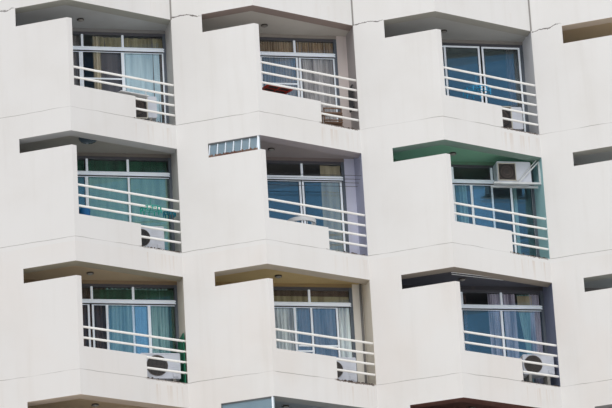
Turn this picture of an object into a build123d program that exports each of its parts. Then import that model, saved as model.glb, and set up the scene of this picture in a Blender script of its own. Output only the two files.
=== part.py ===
from build123d import *
import math
import os

# Five storeys and four bays of an apartment block with folded balcony fronts.
# The frame: origin at the bottom centre, X along the front, +Z up, the front facing -Y.
# Each bay folds out to an apex between two valleys. The short left leg of a fold carries a
# pier and a tall screen, the long right leg a low parapet and tube rails. The rear is the
# front turned half a turn about Z. All sizes are in millimetres.

# The grid of the block
bay_count = 4
bay_width = 4000
storey_count = 5
storey_height = 2850
valley_depth = 13000  # from the front valleys to the rear valleys

# The fold of one bay, in plan
apex_offset = 1600  # from the left valley to the apex, along the front
apex_reach = 940  # how far the apex stands in front of the valleys

# Edge beams, screens and floors
ground_sill = 200
beam_height = 535  # from the underside of an edge beam to the next sill
raised_beam = 98  # the storey under the roof has a shallower beam above it
raised_beam_storey = 5
kerb_height = 80  # how far the edge beam stands above the balcony floor
slot_height = 315  # from the top of a screen to the beam above it
parapet_height = 495
slab_thickness = 250
balcony_slab_thickness = 330  # with its screed and plaster

# Walls in plan
beam_width = 290
fin_thickness = 150
pier_reach = 600  # from the valley to the end of the pier, along the front
screen_thickness = 90
parapet_reach = 3090  # from the left valley to the end of the low parapet
gable_thickness = 200
roof_parapet_height = 700
roof_parapet_thickness = 150

# The window wall behind each balcony
window_line = 700  # from the valleys back to the front of the frames
wall_reveal = 20  # the wall's face stands this far in front of the frames
wall_thickness = 150
jamb_wall_width = 220
lintel_height = 70  # from the window head to the ceiling
upper_light_height = 395  # from the underside of the transom to the window head
frame_bar = 60
frame_depth = 70
glass_thickness = 12
glass_setback = 30
balconies_without_transom = ((5, 3),)

# Tube rails of a balcony
rail_diameter = 50
rail_setback = 50  # from the outer face of the parapet to the rail's centre
first_rail = 235
rail_pitch = 230
usual_rails = 4
extra_rail_balconies = ((4, 1), (5, 2), (5, 3))  # storey and bay with one rail more
rails_behind_parapet = 2  # the lower rails, which start at the parapet's end

# Air conditioners on the balcony floors
cooler_width = 780
cooler_depth = 290
cooler_height = 530
cooler_corner = 25
cooler_front = 100  # from the valleys back to the front of the casing
cooler_margin = 320  # from the casing to the fin on its right
cooler_underside = 110  # above the sill
foot_width = 60
foot_inset = 110
balconies_without_cooler = ((5, 2), (4, 2), (4, 3))
own_coolers = {  # balcony: margin, underside, width and height of its casing
    (5, 1): (370, 200, 760, 480),
    (5, 3): (320, 150, 780, 510),
    (4, 1): (340, 90, 780, 520),
    (3, 1): (120, 130, 830, 550),
    (3, 2): (380, 100, 780, 530),
    (3, 3): (70, 300, 680, 440),
}

# The air conditioner that hangs from a wall bracket
hung_cooler_balcony = (4, 3)
hung_cooler_width = 760
hung_cooler_height = 480
hung_cooler_drop = 640  # from the ceiling to its underside
hung_cooler_margin = 200
hung_cooler_front = 200
bracket_bar = 40
bracket_overhang = 100  # how far the arms run on past the casing
bracket_seat = 35  # how far the front arm reaches under the casing
bracket_upright = 480  # height of the upright above the arm
tie_foot = 510  # from the fin to the tie's lower end
rear_arm_setback = 45  # from the back of the casing to the rear arm

# Fittings
lamp_diameter = 150
lamp_height = 50
lamp_offset = 2080
lamp_line = 190  # from the valleys back to the lamp's centre
bowl_lamp_balcony = (4, 1)
bowl_lamp_diameter = 400
bowl_lamp_height = 110
bowl_lamp_line = -190
pipe_diameter = 50
pipe_balcony = (3, 2)
pipe_clearance = 8
pipe_setback = 25  # from the fin to the pipe
glazed_slots = ((4, 2), (2, 2))
slot_pane_thickness = 30

# Openings in the gable walls
corridor_window_width = 1200
corridor_window_height = 1200
corridor_window_sill = 900
entrance_height = 2200
door_gap = 4

# Values that follow from the sizes above
block_length = bay_count * bay_width
bay_corners = [(bay * bay_width - block_length / 2, -valley_depth / 2) for bay in range(bay_count)]
balconies = [(storey, bay) for storey in range(1, storey_count + 1) for bay in range(1, bay_count + 1)]
left_angle = math.atan2(apex_reach, apex_offset)
right_angle = math.atan2(apex_reach, bay_width - apex_offset)
fold_angle = left_angle + right_angle
screen_end = screen_thickness / math.sin(fold_angle)
wall_front = window_line - wall_reveal
wall_back = wall_front + wall_thickness
room_depth = valley_depth - 2 * wall_back
ceiling_height = storey_height - kerb_height - balcony_slab_thickness
opening_height = storey_height - beam_height
screen_height = opening_height - slot_height
window_head = ceiling_height - lintel_height
transom_height = window_head - upper_light_height
hung_cooler_underside = ceiling_height - hung_cooler_drop
roof_sill = ground_sill + storey_count * storey_height
gable_top = roof_sill + roof_parapet_height
hung_cooler_left = bay_width - hung_cooler_margin - hung_cooler_width

os.makedirs("parts", exist_ok=True)


def sill(storey):
    """Height of a storey's sill, the top of the edge beam under its opening."""
    return ground_sill + (storey - 1) * storey_height


def floor_top(storey):
    """Height of a storey's floor, which lies a kerb below the sill."""
    return sill(storey) - kerb_height


def on_left_leg(x, depth=0):
    """The point of the left leg at x, or of a line that runs parallel behind it."""
    return (x, -apex_reach * x / apex_offset + depth / math.cos(left_angle))


def on_right_leg(x, depth=0):
    """The point of the right leg at x, or of a line that runs parallel behind it."""
    slope = apex_reach / (bay_width - apex_offset)
    return (x, -slope * (bay_width - x) + depth / math.cos(right_angle))


def along_right_leg(distance, depth=0):
    """The point that far along the right leg from the apex, and that far behind its face."""
    x = apex_offset + distance * math.cos(right_angle) - depth * math.sin(right_angle)
    y = -apex_reach + distance * math.sin(right_angle) + depth * math.cos(right_angle)
    return (x, y)


def inner_apex(depth):
    """Where the lines behind both legs meet."""
    left_rise = depth / math.cos(left_angle)
    right_rise = depth / math.cos(right_angle)
    left_slope = apex_reach / apex_offset
    right_slope = apex_reach / (bay_width - apex_offset)
    x = (left_rise - right_rise + right_slope * bay_width) / (left_slope + right_slope)
    return on_left_leg(x, depth)


def prism(outline, bottom, top):
    """An upright solid over an outline, both near the origin, to be placed in the bays."""
    with BuildPart() as upright:
        with BuildSketch(Plane.XY.offset(bottom)):
            Polygon(*outline, align=None)
        extrude(amount=top - bottom)
    return upright.part


def block(x_range, y_range, z_range):
    """A solid between the given limits."""
    low_x, high_x = x_range
    low_y, high_y = y_range
    return prism([(low_x, low_y), (high_x, low_y), (high_x, high_y), (low_x, high_y)], *z_range)


def bay_places(*heights):
    """The left valley of every bay, at each of the heights."""
    return [(x, y, height) for height in heights for x, y in bay_corners]


def balcony_places(chosen, height=sill):
    """The left valley of each chosen balcony, at its sill or another height."""
    return [(*bay_corners[bay - 1], height(storey)) for storey, bay in chosen]


def save(piece, name):
    """Labels a finished piece and writes it to its own file."""
    piece.part.label = name
    export_step(piece.part, f"parts/{name}.step")


def save_front_and_rear(piece, kind):
    """Writes a front piece and its copy on the rear, which is the front turned about Z."""
    save(piece, f"front_{kind}")
    with BuildPart() as turned:
        add(piece.part, rotation=(0, 0, 180))
    save(turned, f"rear_{kind}")


def save_pair(piece, name):
    """Writes small fittings of the front and of the rear as one piece."""
    with BuildPart() as pair:
        add(piece.part)
        add(piece.part, rotation=(0, 0, 180))
    save(pair, name)


# Floors and roof between the two window walls
between_gables = (-block_length / 2, block_length / 2)
between_windows = (-room_depth / 2, room_depth / 2)
upper_storeys = range(2, storey_count + 1)
floor_plate = block(between_gables, between_windows, (-slab_thickness, 0))

with BuildPart() as ground_floor:
    add(block(between_gables, between_windows, (0, floor_top(1))))
save(ground_floor, "ground_floor")

with BuildPart() as upper_floors:
    with Locations(*[(0, 0, floor_top(storey)) for storey in upper_storeys]):
        add(floor_plate)
save(upper_floors, "upper_floors")

with BuildPart() as roof_slab:
    with Locations((0, 0, floor_top(storey_count + 1))):
        add(floor_plate)
save(roof_slab, "roof_slab")

# Balcony slabs fill the plan between the edge beam, the fins and the room floor
balcony_outline = [
    on_left_leg(fin_thickness, beam_width),
    inner_apex(beam_width),
    on_right_leg(bay_width, beam_width),
    (bay_width, wall_back),
    (fin_thickness, wall_back),
]
ground_balcony = prism(balcony_outline, 0, floor_top(1))
upper_balcony = prism(balcony_outline, -balcony_slab_thickness, 0)
with BuildPart() as balcony_slabs:
    with Locations(*bay_places(0)):
        add(ground_balcony)
    with Locations(*bay_places(*[floor_top(storey) for storey in range(2, storey_count + 2)])):
        add(upper_balcony)
save_front_and_rear(balcony_slabs, "balcony_slabs")

# A fin stands at the left valley of each bay and parts it from its neighbour
fin_outline = [(0, 0), on_left_leg(fin_thickness), (fin_thickness, wall_back), (0, wall_back)]
fin = prism(fin_outline, 0, roof_sill)
with BuildPart() as fins:
    with Locations(*bay_places(0)):
        add(fin)
save_front_and_rear(fins, "fins")

# The pier beside it is flush with the edge beams and the screens
pier_outline = [
    on_left_leg(fin_thickness),
    on_left_leg(pier_reach),
    on_left_leg(pier_reach, beam_width),
    on_left_leg(fin_thickness, beam_width),
]
pier = prism(pier_outline, 0, roof_sill)
with BuildPart() as piers:
    with Locations(*bay_places(0)):
        add(pier)
save_front_and_rear(piers, "piers")

# Edge beams, one over the other, on the left and the right leg of each fold
left_beam_outline = [
    on_left_leg(pier_reach),
    on_left_leg(apex_offset),
    inner_apex(beam_width),
    on_left_leg(pier_reach, beam_width),
]
right_beam_outline = [
    on_right_leg(apex_offset),
    on_right_leg(bay_width),
    on_right_leg(bay_width, beam_width),
    inner_apex(beam_width),
]
all_storeys = range(1, storey_count + 1)
usual_sills = [sill(storey) for storey in all_storeys if storey != raised_beam_storey]
for kind, outline in (("left_beams", left_beam_outline), ("right_beams", right_beam_outline)):
    ground_beam = prism(outline, 0, ground_sill)
    usual_beam = prism(outline, opening_height, storey_height)
    shallow_beam = prism(outline, opening_height + raised_beam, storey_height)
    with BuildPart() as beams:
        with Locations(*bay_places(0)):
            add(ground_beam)
        with Locations(*bay_places(*usual_sills)):
            add(usual_beam)
        with Locations(*bay_places(sill(raised_beam_storey))):
            add(shallow_beam)
    save_front_and_rear(beams, kind)

# Tall screens close the left leg up to a slot under the beam
screen_outline = [
    on_left_leg(pier_reach),
    on_left_leg(apex_offset),
    along_right_leg(screen_end),
    on_left_leg(pier_reach, screen_thickness),
]
screen = prism(screen_outline, 0, screen_height)
with BuildPart() as screens:
    with Locations(*balcony_places(balconies)):
        add(screen)
save_front_and_rear(screens, "screens")

# Low parapets run on from the screens along the right leg
parapet_length = (parapet_reach - apex_offset) / math.cos(right_angle)
parapet_outline = [
    along_right_leg(screen_end),
    along_right_leg(parapet_length),
    along_right_leg(parapet_length, screen_thickness),
    inner_apex(screen_thickness),
]
parapet = prism(parapet_outline, 0, parapet_height)
with BuildPart() as parapets:
    with Locations(*balcony_places(balconies)):
        add(parapet)
save_front_and_rear(parapets, "parapets")

# Gable walls: two tall panels each, with spandrels between the corridor windows
corridor_half = corridor_window_width / 2
entrance_top = floor_top(1) + entrance_height
gable_places = [(-block_length / 2 - gable_thickness, 0, 0), (block_length / 2, 0, 0)]
gable_depths = (0, gable_thickness)
window_sills = [floor_top(storey) + corridor_window_sill for storey in upper_storeys]
front_panel = block(gable_depths, (-valley_depth / 2, -corridor_half), (0, gable_top))
rear_panel = block(gable_depths, (corridor_half, valley_depth / 2), (0, gable_top))
with BuildPart() as gable_walls:
    with Locations(*gable_places):
        add(front_panel)
        add(rear_panel)
save(gable_walls, "gable_walls")

spandrel_bottoms = [entrance_top] + [lower + corridor_window_height for lower in window_sills]
spandrel_tops = window_sills + [gable_top]
spandrels = [
    block(gable_depths, (-corridor_half, corridor_half), levels)
    for levels in zip(spandrel_bottoms, spandrel_tops)
]
with BuildPart() as gable_spandrels:
    with Locations(*gable_places):
        add(spandrels)
save(gable_spandrels, "gable_spandrels")

# Frames of the corridor windows and of the two entrances stand in the middle of the wall
middle_depths = ((gable_thickness - frame_depth) / 2, (gable_thickness + frame_depth) / 2)
window_hole = block(
    middle_depths,
    (frame_bar - corridor_half, corridor_half - frame_bar),
    (frame_bar, corridor_window_height - frame_bar),
)
with BuildPart() as one_frame:
    add(block(middle_depths, (-corridor_half, corridor_half), (0, corridor_window_height)))
    add(window_hole, mode=Mode.SUBTRACT)
corridor_places = [(x, y, lower) for x, y, _ in gable_places for lower in window_sills]
with BuildPart() as corridor_window_frames:
    with Locations(*corridor_places):
        add(one_frame.part)
save(corridor_window_frames, "corridor_window_frames")

glass_depths = ((gable_thickness - glass_thickness) / 2, (gable_thickness + glass_thickness) / 2)
corridor_pane = block(
    glass_depths,
    (frame_bar - corridor_half, corridor_half - frame_bar),
    (frame_bar, corridor_window_height - frame_bar),
)
with BuildPart() as corridor_window_glass:
    with Locations(*corridor_places):
        add(corridor_pane)
save(corridor_window_glass, "corridor_window_glass")

with BuildPart() as one_portal:
    add(block(middle_depths, (-corridor_half, corridor_half), (0, entrance_height)))
    add(
        block(
            middle_depths,
            (frame_bar - corridor_half, corridor_half - frame_bar),
            (0, entrance_height - frame_bar),
        ),
        mode=Mode.SUBTRACT,
    )
entrance_places = [(x, y, floor_top(1)) for x, y, _ in gable_places]
with BuildPart() as entrance_frames:
    with Locations(*entrance_places):
        add(one_portal.part)
save(entrance_frames, "entrance_frames")

entrance_step = block(gable_depths, (-corridor_half, corridor_half), (0, floor_top(1)))
with BuildPart() as entrance_steps:
    with Locations(*gable_places):
        add(entrance_step)
save(entrance_steps, "entrance_steps")

leaf_depths = ((gable_thickness - frame_depth / 2) / 2, (gable_thickness + frame_depth / 2) / 2)
leaf_levels = (0, entrance_height - frame_bar)
front_leaf = block(leaf_depths, (frame_bar - corridor_half, -door_gap / 2), leaf_levels)
rear_leaf = block(leaf_depths, (door_gap / 2, corridor_half - frame_bar), leaf_levels)
with BuildPart() as entrance_doors:
    with Locations(*entrance_places):
        add(front_leaf)
        add(rear_leaf)
save(entrance_doors, "entrance_doors")

# Roof parapets follow the folds above the roof
left_coping_outline = [
    on_left_leg(0),
    on_left_leg(apex_offset),
    inner_apex(roof_parapet_thickness),
    on_left_leg(0, roof_parapet_thickness),
]
right_coping_outline = [
    on_right_leg(apex_offset),
    on_right_leg(bay_width),
    on_right_leg(bay_width, roof_parapet_thickness),
    inner_apex(roof_parapet_thickness),
]
for kind, outline in (
    ("left_roof_parapets", left_coping_outline),
    ("right_roof_parapets", right_coping_outline),
):
    roof_parapet = prism(outline, 0, roof_parapet_height)
    with BuildPart() as roof_parapets:
        with Locations(*bay_places(roof_sill)):
            add(roof_parapet)
    save_pair(roof_parapets, kind)

# The window wall changes sides from bay to bay: odd bays have the jamb wall on the left
odd_balconies = [place for place in balconies if place[1] % 2]
even_balconies = [place for place in balconies if not place[1] % 2]
odd_window = (fin_thickness + jamb_wall_width, bay_width)
even_window = (fin_thickness, bay_width - jamb_wall_width)
window_walls = (
    (odd_balconies, odd_window, (fin_thickness, fin_thickness + jamb_wall_width)),
    (even_balconies, even_window, (bay_width - jamb_wall_width, bay_width)),
)
wall_depths = (wall_front, wall_back)
frame_depths = (window_line, window_line + frame_depth)
pane_depths = (window_line + glass_setback, window_line + glass_setback + glass_thickness)

with BuildPart() as jamb_walls:
    for places, _, sides in window_walls:
        jamb_wall = block(sides, wall_depths, (-kerb_height, ceiling_height))
        with Locations(*balcony_places(places)):
            add(jamb_wall)
save_front_and_rear(jamb_walls, "jamb_walls")

with BuildPart() as lintels:
    for places, sides, _ in window_walls:
        lintel = block(sides, wall_depths, (window_head, ceiling_height))
        with Locations(*balcony_places(places)):
            add(lintel)
save_front_and_rear(lintels, "lintels")


def with_transom(places):
    """The balconies among them whose windows have a transom."""
    return [place for place in places if place not in balconies_without_transom]


# Window frames: upright jambs, with head, transom and sill bars between them
with BuildPart() as window_jambs:
    for places, (left, right), _ in window_walls:
        left_jamb = block((left, left + frame_bar), frame_depths, (-kerb_height, window_head))
        right_jamb = block((right - frame_bar, right), frame_depths, (-kerb_height, window_head))
        with Locations(*balcony_places(places)):
            add(left_jamb)
            add(right_jamb)
save_front_and_rear(window_jambs, "window_jambs")

with BuildPart() as window_bars:
    for places, (left, right), _ in window_walls:
        span = (left + frame_bar, right - frame_bar)
        sill_bar = block(span, frame_depths, (-kerb_height, frame_bar - kerb_height))
        head_bar = block(span, frame_depths, (window_head - frame_bar, window_head))
        transom = block(span, frame_depths, (transom_height, transom_height + frame_bar))
        with Locations(*balcony_places(places)):
            add(sill_bar)
            add(head_bar)
        with Locations(*balcony_places(with_transom(places))):
            add(transom)
save_front_and_rear(window_bars, "window_bars")

# One pane below and one above each transom, or one for the whole height
with BuildPart() as window_glass:
    for places, (left, right), _ in window_walls:
        span = (left + frame_bar, right - frame_bar)
        pane_bottom = frame_bar - kerb_height
        pane_top = window_head - frame_bar
        lower_pane = block(span, pane_depths, (pane_bottom, transom_height))
        upper_pane = block(span, pane_depths, (transom_height + frame_bar, pane_top))
        tall_pane = block(span, pane_depths, (pane_bottom, pane_top))
        with Locations(*balcony_places(with_transom(places))):
            add(lower_pane)
            add(upper_pane)
        tall_places = [place for place in places if place in balconies_without_transom]
        if tall_places:
            with Locations(*balcony_places(tall_places)):
                add(tall_pane)
save_front_and_rear(window_glass, "window_glass")

# Tube rails run from the screen or the parapet's end to the next fin
rail_start = screen_end / 2 - rail_setback / math.tan(fold_angle)
rail_end = (bay_width - apex_offset) / math.cos(right_angle) + fin_thickness / 2
beyond_bay = (bay_width, bay_width + fin_thickness)
rail_stop = block(beyond_bay, (-apex_reach, wall_front), (0, storey_height))


def rail_set(rail_count):
    """The rails of one balcony, cut off flat where they meet the screen and the fin."""
    lower_rails = range(rails_behind_parapet)
    upper_rails = range(rails_behind_parapet, rail_count)
    with BuildPart() as tubes:
        for start, numbers in ((parapet_length, lower_rails), (rail_start, upper_rails)):
            section = Plane(
                origin=(*along_right_leg(start), 0),
                x_dir=(-math.sin(right_angle), math.cos(right_angle), 0),
                z_dir=(math.cos(right_angle), math.sin(right_angle), 0),
            )
            with BuildSketch(section) as circles:
                with Locations(*[(rail_setback, first_rail + number * rail_pitch) for number in numbers]):
                    Circle(rail_diameter / 2)
            extrude(circles.sketch, amount=rail_end - start)
        add(screen, mode=Mode.SUBTRACT)
        add(rail_stop, mode=Mode.SUBTRACT)
    return tubes.part


usual_set = rail_set(usual_rails)
extra_set = rail_set(usual_rails + 1)
with BuildPart() as rails:
    with Locations(*balcony_places([place for place in balconies if place not in extra_rail_balconies])):
        add(usual_set)
    with Locations(*balcony_places(extra_rail_balconies)):
        add(extra_set)
save_front_and_rear(rails, "rails")


def cooler_casing(left, front, underside, width, height):
    """One air conditioner casing with round corners, placed within a bay."""
    face = Plane(
        origin=(left + width / 2, front, underside + height / 2),
        x_dir=(1, 0, 0),
        z_dir=(0, -1, 0),
    )
    with BuildPart() as casing:
        with BuildSketch(face):
            RectangleRounded(width, height, cooler_corner)
        extrude(amount=-cooler_depth)
    return casing.part


# Air conditioners stand on two feet each, or hang from a bracket
usual_cooler = (cooler_margin, cooler_underside, cooler_width, cooler_height)
coolers = {
    place: own_coolers.get(place, usual_cooler)
    for place in balconies
    if place not in balconies_without_cooler
}
hung_casing = cooler_casing(
    hung_cooler_left,
    hung_cooler_front,
    hung_cooler_underside,
    hung_cooler_width,
    hung_cooler_height,
)
with BuildPart() as air_conditioners:
    for place, (margin, underside, width, height) in coolers.items():
        left = bay_width - margin - width
        with Locations(*balcony_places([place])):
            add(cooler_casing(left, cooler_front, underside, width, height))
    with Locations(*balcony_places([hung_cooler_balcony])):
        add(hung_casing)
save_front_and_rear(air_conditioners, "air_conditioners")

# The feet stand on the floor, or on the kerb where they reach over it
foot_depths = (cooler_front, cooler_front + cooler_depth)
right_kerb = prism(right_beam_outline, -kerb_height, 0)
with BuildPart() as cooler_feet:
    for place, (margin, underside, width, _) in coolers.items():
        right_foot = bay_width - margin - foot_inset
        left_foot = bay_width - margin - width + foot_inset + foot_width
        for foot_end in (left_foot, right_foot):
            foot = block((foot_end - foot_width, foot_end), foot_depths, (-kerb_height, underside))
            with Locations(*balcony_places([place])):
                add(foot)
    with Locations(*balcony_places(coolers)):
        add(right_kerb, mode=Mode.SUBTRACT)
save_pair(cooler_feet, "cooler_feet")

# Its bracket has two arms fixed to the fin. The front one is tied up to an upright bar
bracket_arm = bay_width - hung_cooler_left + bracket_overhang
arm_outline = [(0, 0), (-bracket_arm, 0), (-bracket_arm, -bracket_bar), (0, -bracket_bar)]
upright_outline = [(0, 0), (0, bracket_upright), (-bracket_bar, bracket_upright), (-bracket_bar, 0)]
tie_outline = [
    (-tie_foot, 0),
    (-bracket_bar, bracket_upright),
    (-bracket_bar, bracket_upright - bracket_bar),
    (bracket_bar - tie_foot, 0),
]
bracket_face = Plane(
    origin=(bay_width, hung_cooler_front - bracket_bar, hung_cooler_underside),
    x_dir=(1, 0, 0),
    z_dir=(0, -1, 0),
)
arm_levels = (hung_cooler_underside - bracket_bar, hung_cooler_underside)
arm_ends = (bay_width - bracket_arm, bay_width)
rear_arm_back = hung_cooler_front + cooler_depth - rear_arm_setback
with BuildPart() as one_bracket:
    with BuildSketch(bracket_face):
        Polygon(*arm_outline, align=None)
        Polygon(*upright_outline, align=None)
        Polygon(*tie_outline, align=None)
    extrude(amount=-bracket_bar)
    add(block(arm_ends, (hung_cooler_front, hung_cooler_front + bracket_seat), arm_levels))
    add(block(arm_ends, (rear_arm_back - bracket_bar, rear_arm_back), arm_levels))
with BuildPart() as cooler_brackets:
    with Locations(*balcony_places([hung_cooler_balcony])):
        add(one_bracket.part)
save_pair(cooler_brackets, "cooler_brackets")


def round_post(x, y, diameter, bottom, top):
    """An upright round solid, placed within a bay."""
    with BuildPart() as post:
        with BuildSketch(Plane.XY.offset(bottom)):
            with Locations((x, y)):
                Circle(diameter / 2)
        extrude(amount=top - bottom)
    return post.part


# Round ceiling lamps, one over each balcony, and one of them a wide bowl
lamp_levels = (ceiling_height - lamp_height, ceiling_height)
lamp = round_post(lamp_offset, lamp_line, lamp_diameter, *lamp_levels)
bowl_levels = (ceiling_height - bowl_lamp_height, ceiling_height)
bowl_lamp = round_post(lamp_offset, bowl_lamp_line, bowl_lamp_diameter, *bowl_levels)
with BuildPart() as ceiling_lamps:
    with Locations(*balcony_places([place for place in balconies if place != bowl_lamp_balcony])):
        add(lamp)
    with Locations(*balcony_places([bowl_lamp_balcony])):
        add(bowl_lamp)
save_pair(ceiling_lamps, "ceiling_lamps")

# A drain pipe stands on one balcony, close to the fin
pipe_x = bay_width - pipe_setback - pipe_diameter / 2
pipe_y = wall_front - pipe_clearance - pipe_diameter / 2
pipe = round_post(pipe_x, pipe_y, pipe_diameter, -kerb_height, ceiling_height)
with BuildPart() as drain_pipes:
    with Locations(*balcony_places([pipe_balcony])):
        add(pipe)
save_pair(drain_pipes, "drain_pipes")

# Two slots over screens are closed by a glazed panel in line with the screen
pane_front = (screen_thickness - slot_pane_thickness) / 2
pane_rear = (screen_thickness + slot_pane_thickness) / 2
slot_outline = [
    on_left_leg(pier_reach, pane_front),
    on_left_leg(apex_offset, pane_front),
    on_left_leg(apex_offset, pane_rear),
    on_left_leg(pier_reach, pane_rear),
]
slot_panel = prism(slot_outline, screen_height, opening_height)
with BuildPart() as slot_glazing:
    with Locations(*balcony_places(glazed_slots)):
        add(slot_panel)
save_pair(slot_glazing, "slot_glazing")
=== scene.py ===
# %% [markdown]
# # An apartment block with folded balcony fronts
# The walls, slabs, rails and panes arrive as finished solids, all in metres and in one shared
# frame: the origin at the bottom centre, X along the front, Z up, and the front facing -Y.
# This lesson gives them their paint and weather, and adds what is too fine for the solids:
# sliding sashes, curtains, fan grilles, lamps and the small things on the balconies.

# %% Load the fixed solids
import math
import random

import bmesh
import bpy
from mathutils import Matrix, Vector


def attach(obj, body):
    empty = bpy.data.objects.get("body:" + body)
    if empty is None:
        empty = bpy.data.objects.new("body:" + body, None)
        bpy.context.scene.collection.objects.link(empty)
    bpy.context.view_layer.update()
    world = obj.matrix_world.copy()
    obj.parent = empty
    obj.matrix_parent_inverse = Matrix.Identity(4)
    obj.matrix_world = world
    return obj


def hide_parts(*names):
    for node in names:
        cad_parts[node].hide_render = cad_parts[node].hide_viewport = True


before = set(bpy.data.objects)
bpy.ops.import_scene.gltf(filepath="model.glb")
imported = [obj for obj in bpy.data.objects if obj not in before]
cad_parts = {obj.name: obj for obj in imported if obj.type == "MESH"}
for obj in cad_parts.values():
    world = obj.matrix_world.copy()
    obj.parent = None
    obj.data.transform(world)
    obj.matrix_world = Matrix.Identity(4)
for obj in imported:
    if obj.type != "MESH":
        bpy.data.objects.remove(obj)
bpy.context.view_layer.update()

scene = bpy.context.scene

# %% [markdown]
# ## The grid of the block
# Every balcony is one cell of a grid. Its corner is the left valley of its fold, at the height
# of its sill. A piece that is drawn once in such a cell can be placed in any of them by a
# matrix. The rear is the front turned half a turn about the upright axis, so the same matrix
# with that turn in front of it serves the rear.

# %% Cells of the grid
BAYS = 4
STOREYS = 5
BAY_WIDTH = 4.0
STOREY_HEIGHT = 2.85
FIRST_SILL = 0.2
VALLEY = 6.5  # from the middle of the block to the valleys
APEX_X = 1.6
APEX_REACH = 0.94
LEFT_SLOPE = APEX_REACH / APEX_X
RIGHT_SLOPE = APEX_REACH / (BAY_WIDTH - APEX_X)
CEILING_Z = 2.44  # heights above the sill of a balcony
HEAD_Z = 2.37
TRANSOM_Z = 1.975
FLOOR_Z = -0.08
WINDOW_Y = 0.7  # from the valleys back to the front of the frames
FRAME_BAR = 0.06


def cell(storey, bay, rear=False):
    """The matrix that places a piece from its own cell into the block."""
    x = (bay - 1 - BAYS / 2) * BAY_WIDTH
    z = FIRST_SILL + (storey - 1) * STOREY_HEIGHT
    turn = Matrix.Rotation(math.pi if rear else 0.0, 4, "Z")
    return turn @ Matrix.Translation((x, -VALLEY, z))


all_cells = [
    (storey, bay, rear)
    for rear in (False, True)
    for storey in range(1, STOREYS + 1)
    for bay in range(1, BAYS + 1)
]
print("balconies:", len(all_cells))

# %% [markdown]
# ## The camera
# The photograph was taken from the street with a long lens, far to the left of these bays and
# well below them. The camera's place and turn were worked out from the building's own straight
# lines. Its three axes are written as the columns of a matrix: right, up and backwards.

# %% Set the camera
camera_data = bpy.data.cameras.new("street_camera")
camera_data.sensor_width = 36.0
camera_data.lens = 210.48
camera_data.clip_end = 600.0
camera = bpy.data.objects.new("street_camera", camera_data)
right = Vector((0.9753788, -0.2133067, -0.05600405))
up = Vector((-0.01997714, -0.33835872, 0.94080513))
backwards = -Vector((0.2196295, 0.91652257, 0.33428918))
axes = Matrix((right, up, backwards)).transposed().to_4x4()
camera.matrix_world = Matrix.Translation((-17.89699, -75.8556, -15.40928)) @ axes
scene.collection.objects.link(camera)
scene.camera = camera
print("camera looks along", -backwards)

# %% [markdown]
# ## Helpers for meshes
# A bmesh is an editable mesh in memory. Each piece below starts from one of its ready shapes,
# is shaped by its operators, and ends as an object that rides on the block. Pieces that repeat
# in many cells are drawn once and copied in, so that all the copies stay alike.

# %% Mesh helpers
def add_box(bm, low, high, soften=0.0, turn=None):
    """Adds a box between two corners to a bmesh, turned, and softened by a small bevel."""
    low, high = Vector(low), Vector(high)
    size = high - low
    matrix = Matrix.Translation((low + high) / 2) @ Matrix.Diagonal((*size, 1.0))
    if turn:
        matrix = turn @ matrix
    made = bmesh.ops.create_cube(bm, size=1.0, matrix=matrix)["verts"]
    if soften:
        edges = list({edge for vert in made for edge in vert.link_edges})
        bmesh.ops.bevel(bm, geom=edges, offset=soften, segments=1, profile=0.5, affect="EDGES",
                        material=-1)


def add_copy(bm, unit, matrix, material_index=None):
    """Copies a finished mesh into a bmesh at the place that the matrix gives."""
    vert_count, face_count = len(bm.verts), len(bm.faces)
    bm.from_mesh(unit)
    bm.verts.ensure_lookup_table()
    bm.faces.ensure_lookup_table()
    bmesh.ops.transform(bm, matrix=matrix, verts=bm.verts[vert_count:])
    if material_index is not None:
        for face in bm.faces[face_count:]:
            face.material_index = material_index


def place_new(bm, matrix, before=()):
    """Moves the vertices of a bmesh, apart from those that were there before."""
    bmesh.ops.transform(bm, matrix=matrix, verts=[vert for vert in bm.verts if vert not in before])


def paint_new(bm, material_index, before=()):
    """Gives a material to the faces of a bmesh, apart from those that were there before."""
    for face in bm.faces:
        if face not in before:
            face.material_index = material_index


def to_mesh(bm, name, smooth=False):
    """Ends a bmesh as a mesh, with its faces pointing outwards."""
    bmesh.ops.recalc_face_normals(bm, faces=bm.faces)
    for face in bm.faces:
        face.smooth = smooth
    mesh = bpy.data.meshes.new(name)
    bm.to_mesh(mesh)
    bm.free()
    return mesh


def to_piece(mesh, materials):
    """Makes an object of a mesh, gives it its materials and lets it ride on the block."""
    piece = bpy.data.objects.new(mesh.name, mesh)
    scene.collection.objects.link(piece)
    for material in materials:
        mesh.materials.append(material)
    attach(piece, "root")
    mesh.calc_loop_triangles()
    print(piece.name, "triangles:", len(mesh.loop_triangles))
    return piece


def place_piece(bm, name, matrix, material):
    """Moves a whole bmesh to its place and makes it a piece of one material."""
    place_new(bm, matrix)
    to_piece(to_mesh(bm, name), [material])


# %% [markdown]
# ## Helpers for node trees
# A material is a small network of nodes. These helpers place a node, set its values and join
# its inputs in one line, so that each recipe below reads from top to bottom.

# %% Node helpers
def put(tree, kind, inputs=None, **settings):
    """Places a node. Each input takes a value, or the socket that is linked to it."""
    made = tree.nodes.new(kind)
    for key, value in settings.items():
        setattr(made, key, value)
    for key, value in (inputs or {}).items():
        if isinstance(value, bpy.types.NodeSocket):
            tree.links.new(value, made.inputs[key])
        else:
            made.inputs[key].default_value = value
    return made


def calc(tree, operation, *values, clamp=False):
    """A Math node's result."""
    numbered = dict(enumerate(values))
    return put(tree, "ShaderNodeMath", numbered, operation=operation, use_clamp=clamp).outputs[0]


def product(tree, first, *others):
    """The product of several values."""
    for other in others:
        first = calc(tree, "MULTIPLY", first, other)
    return first


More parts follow.
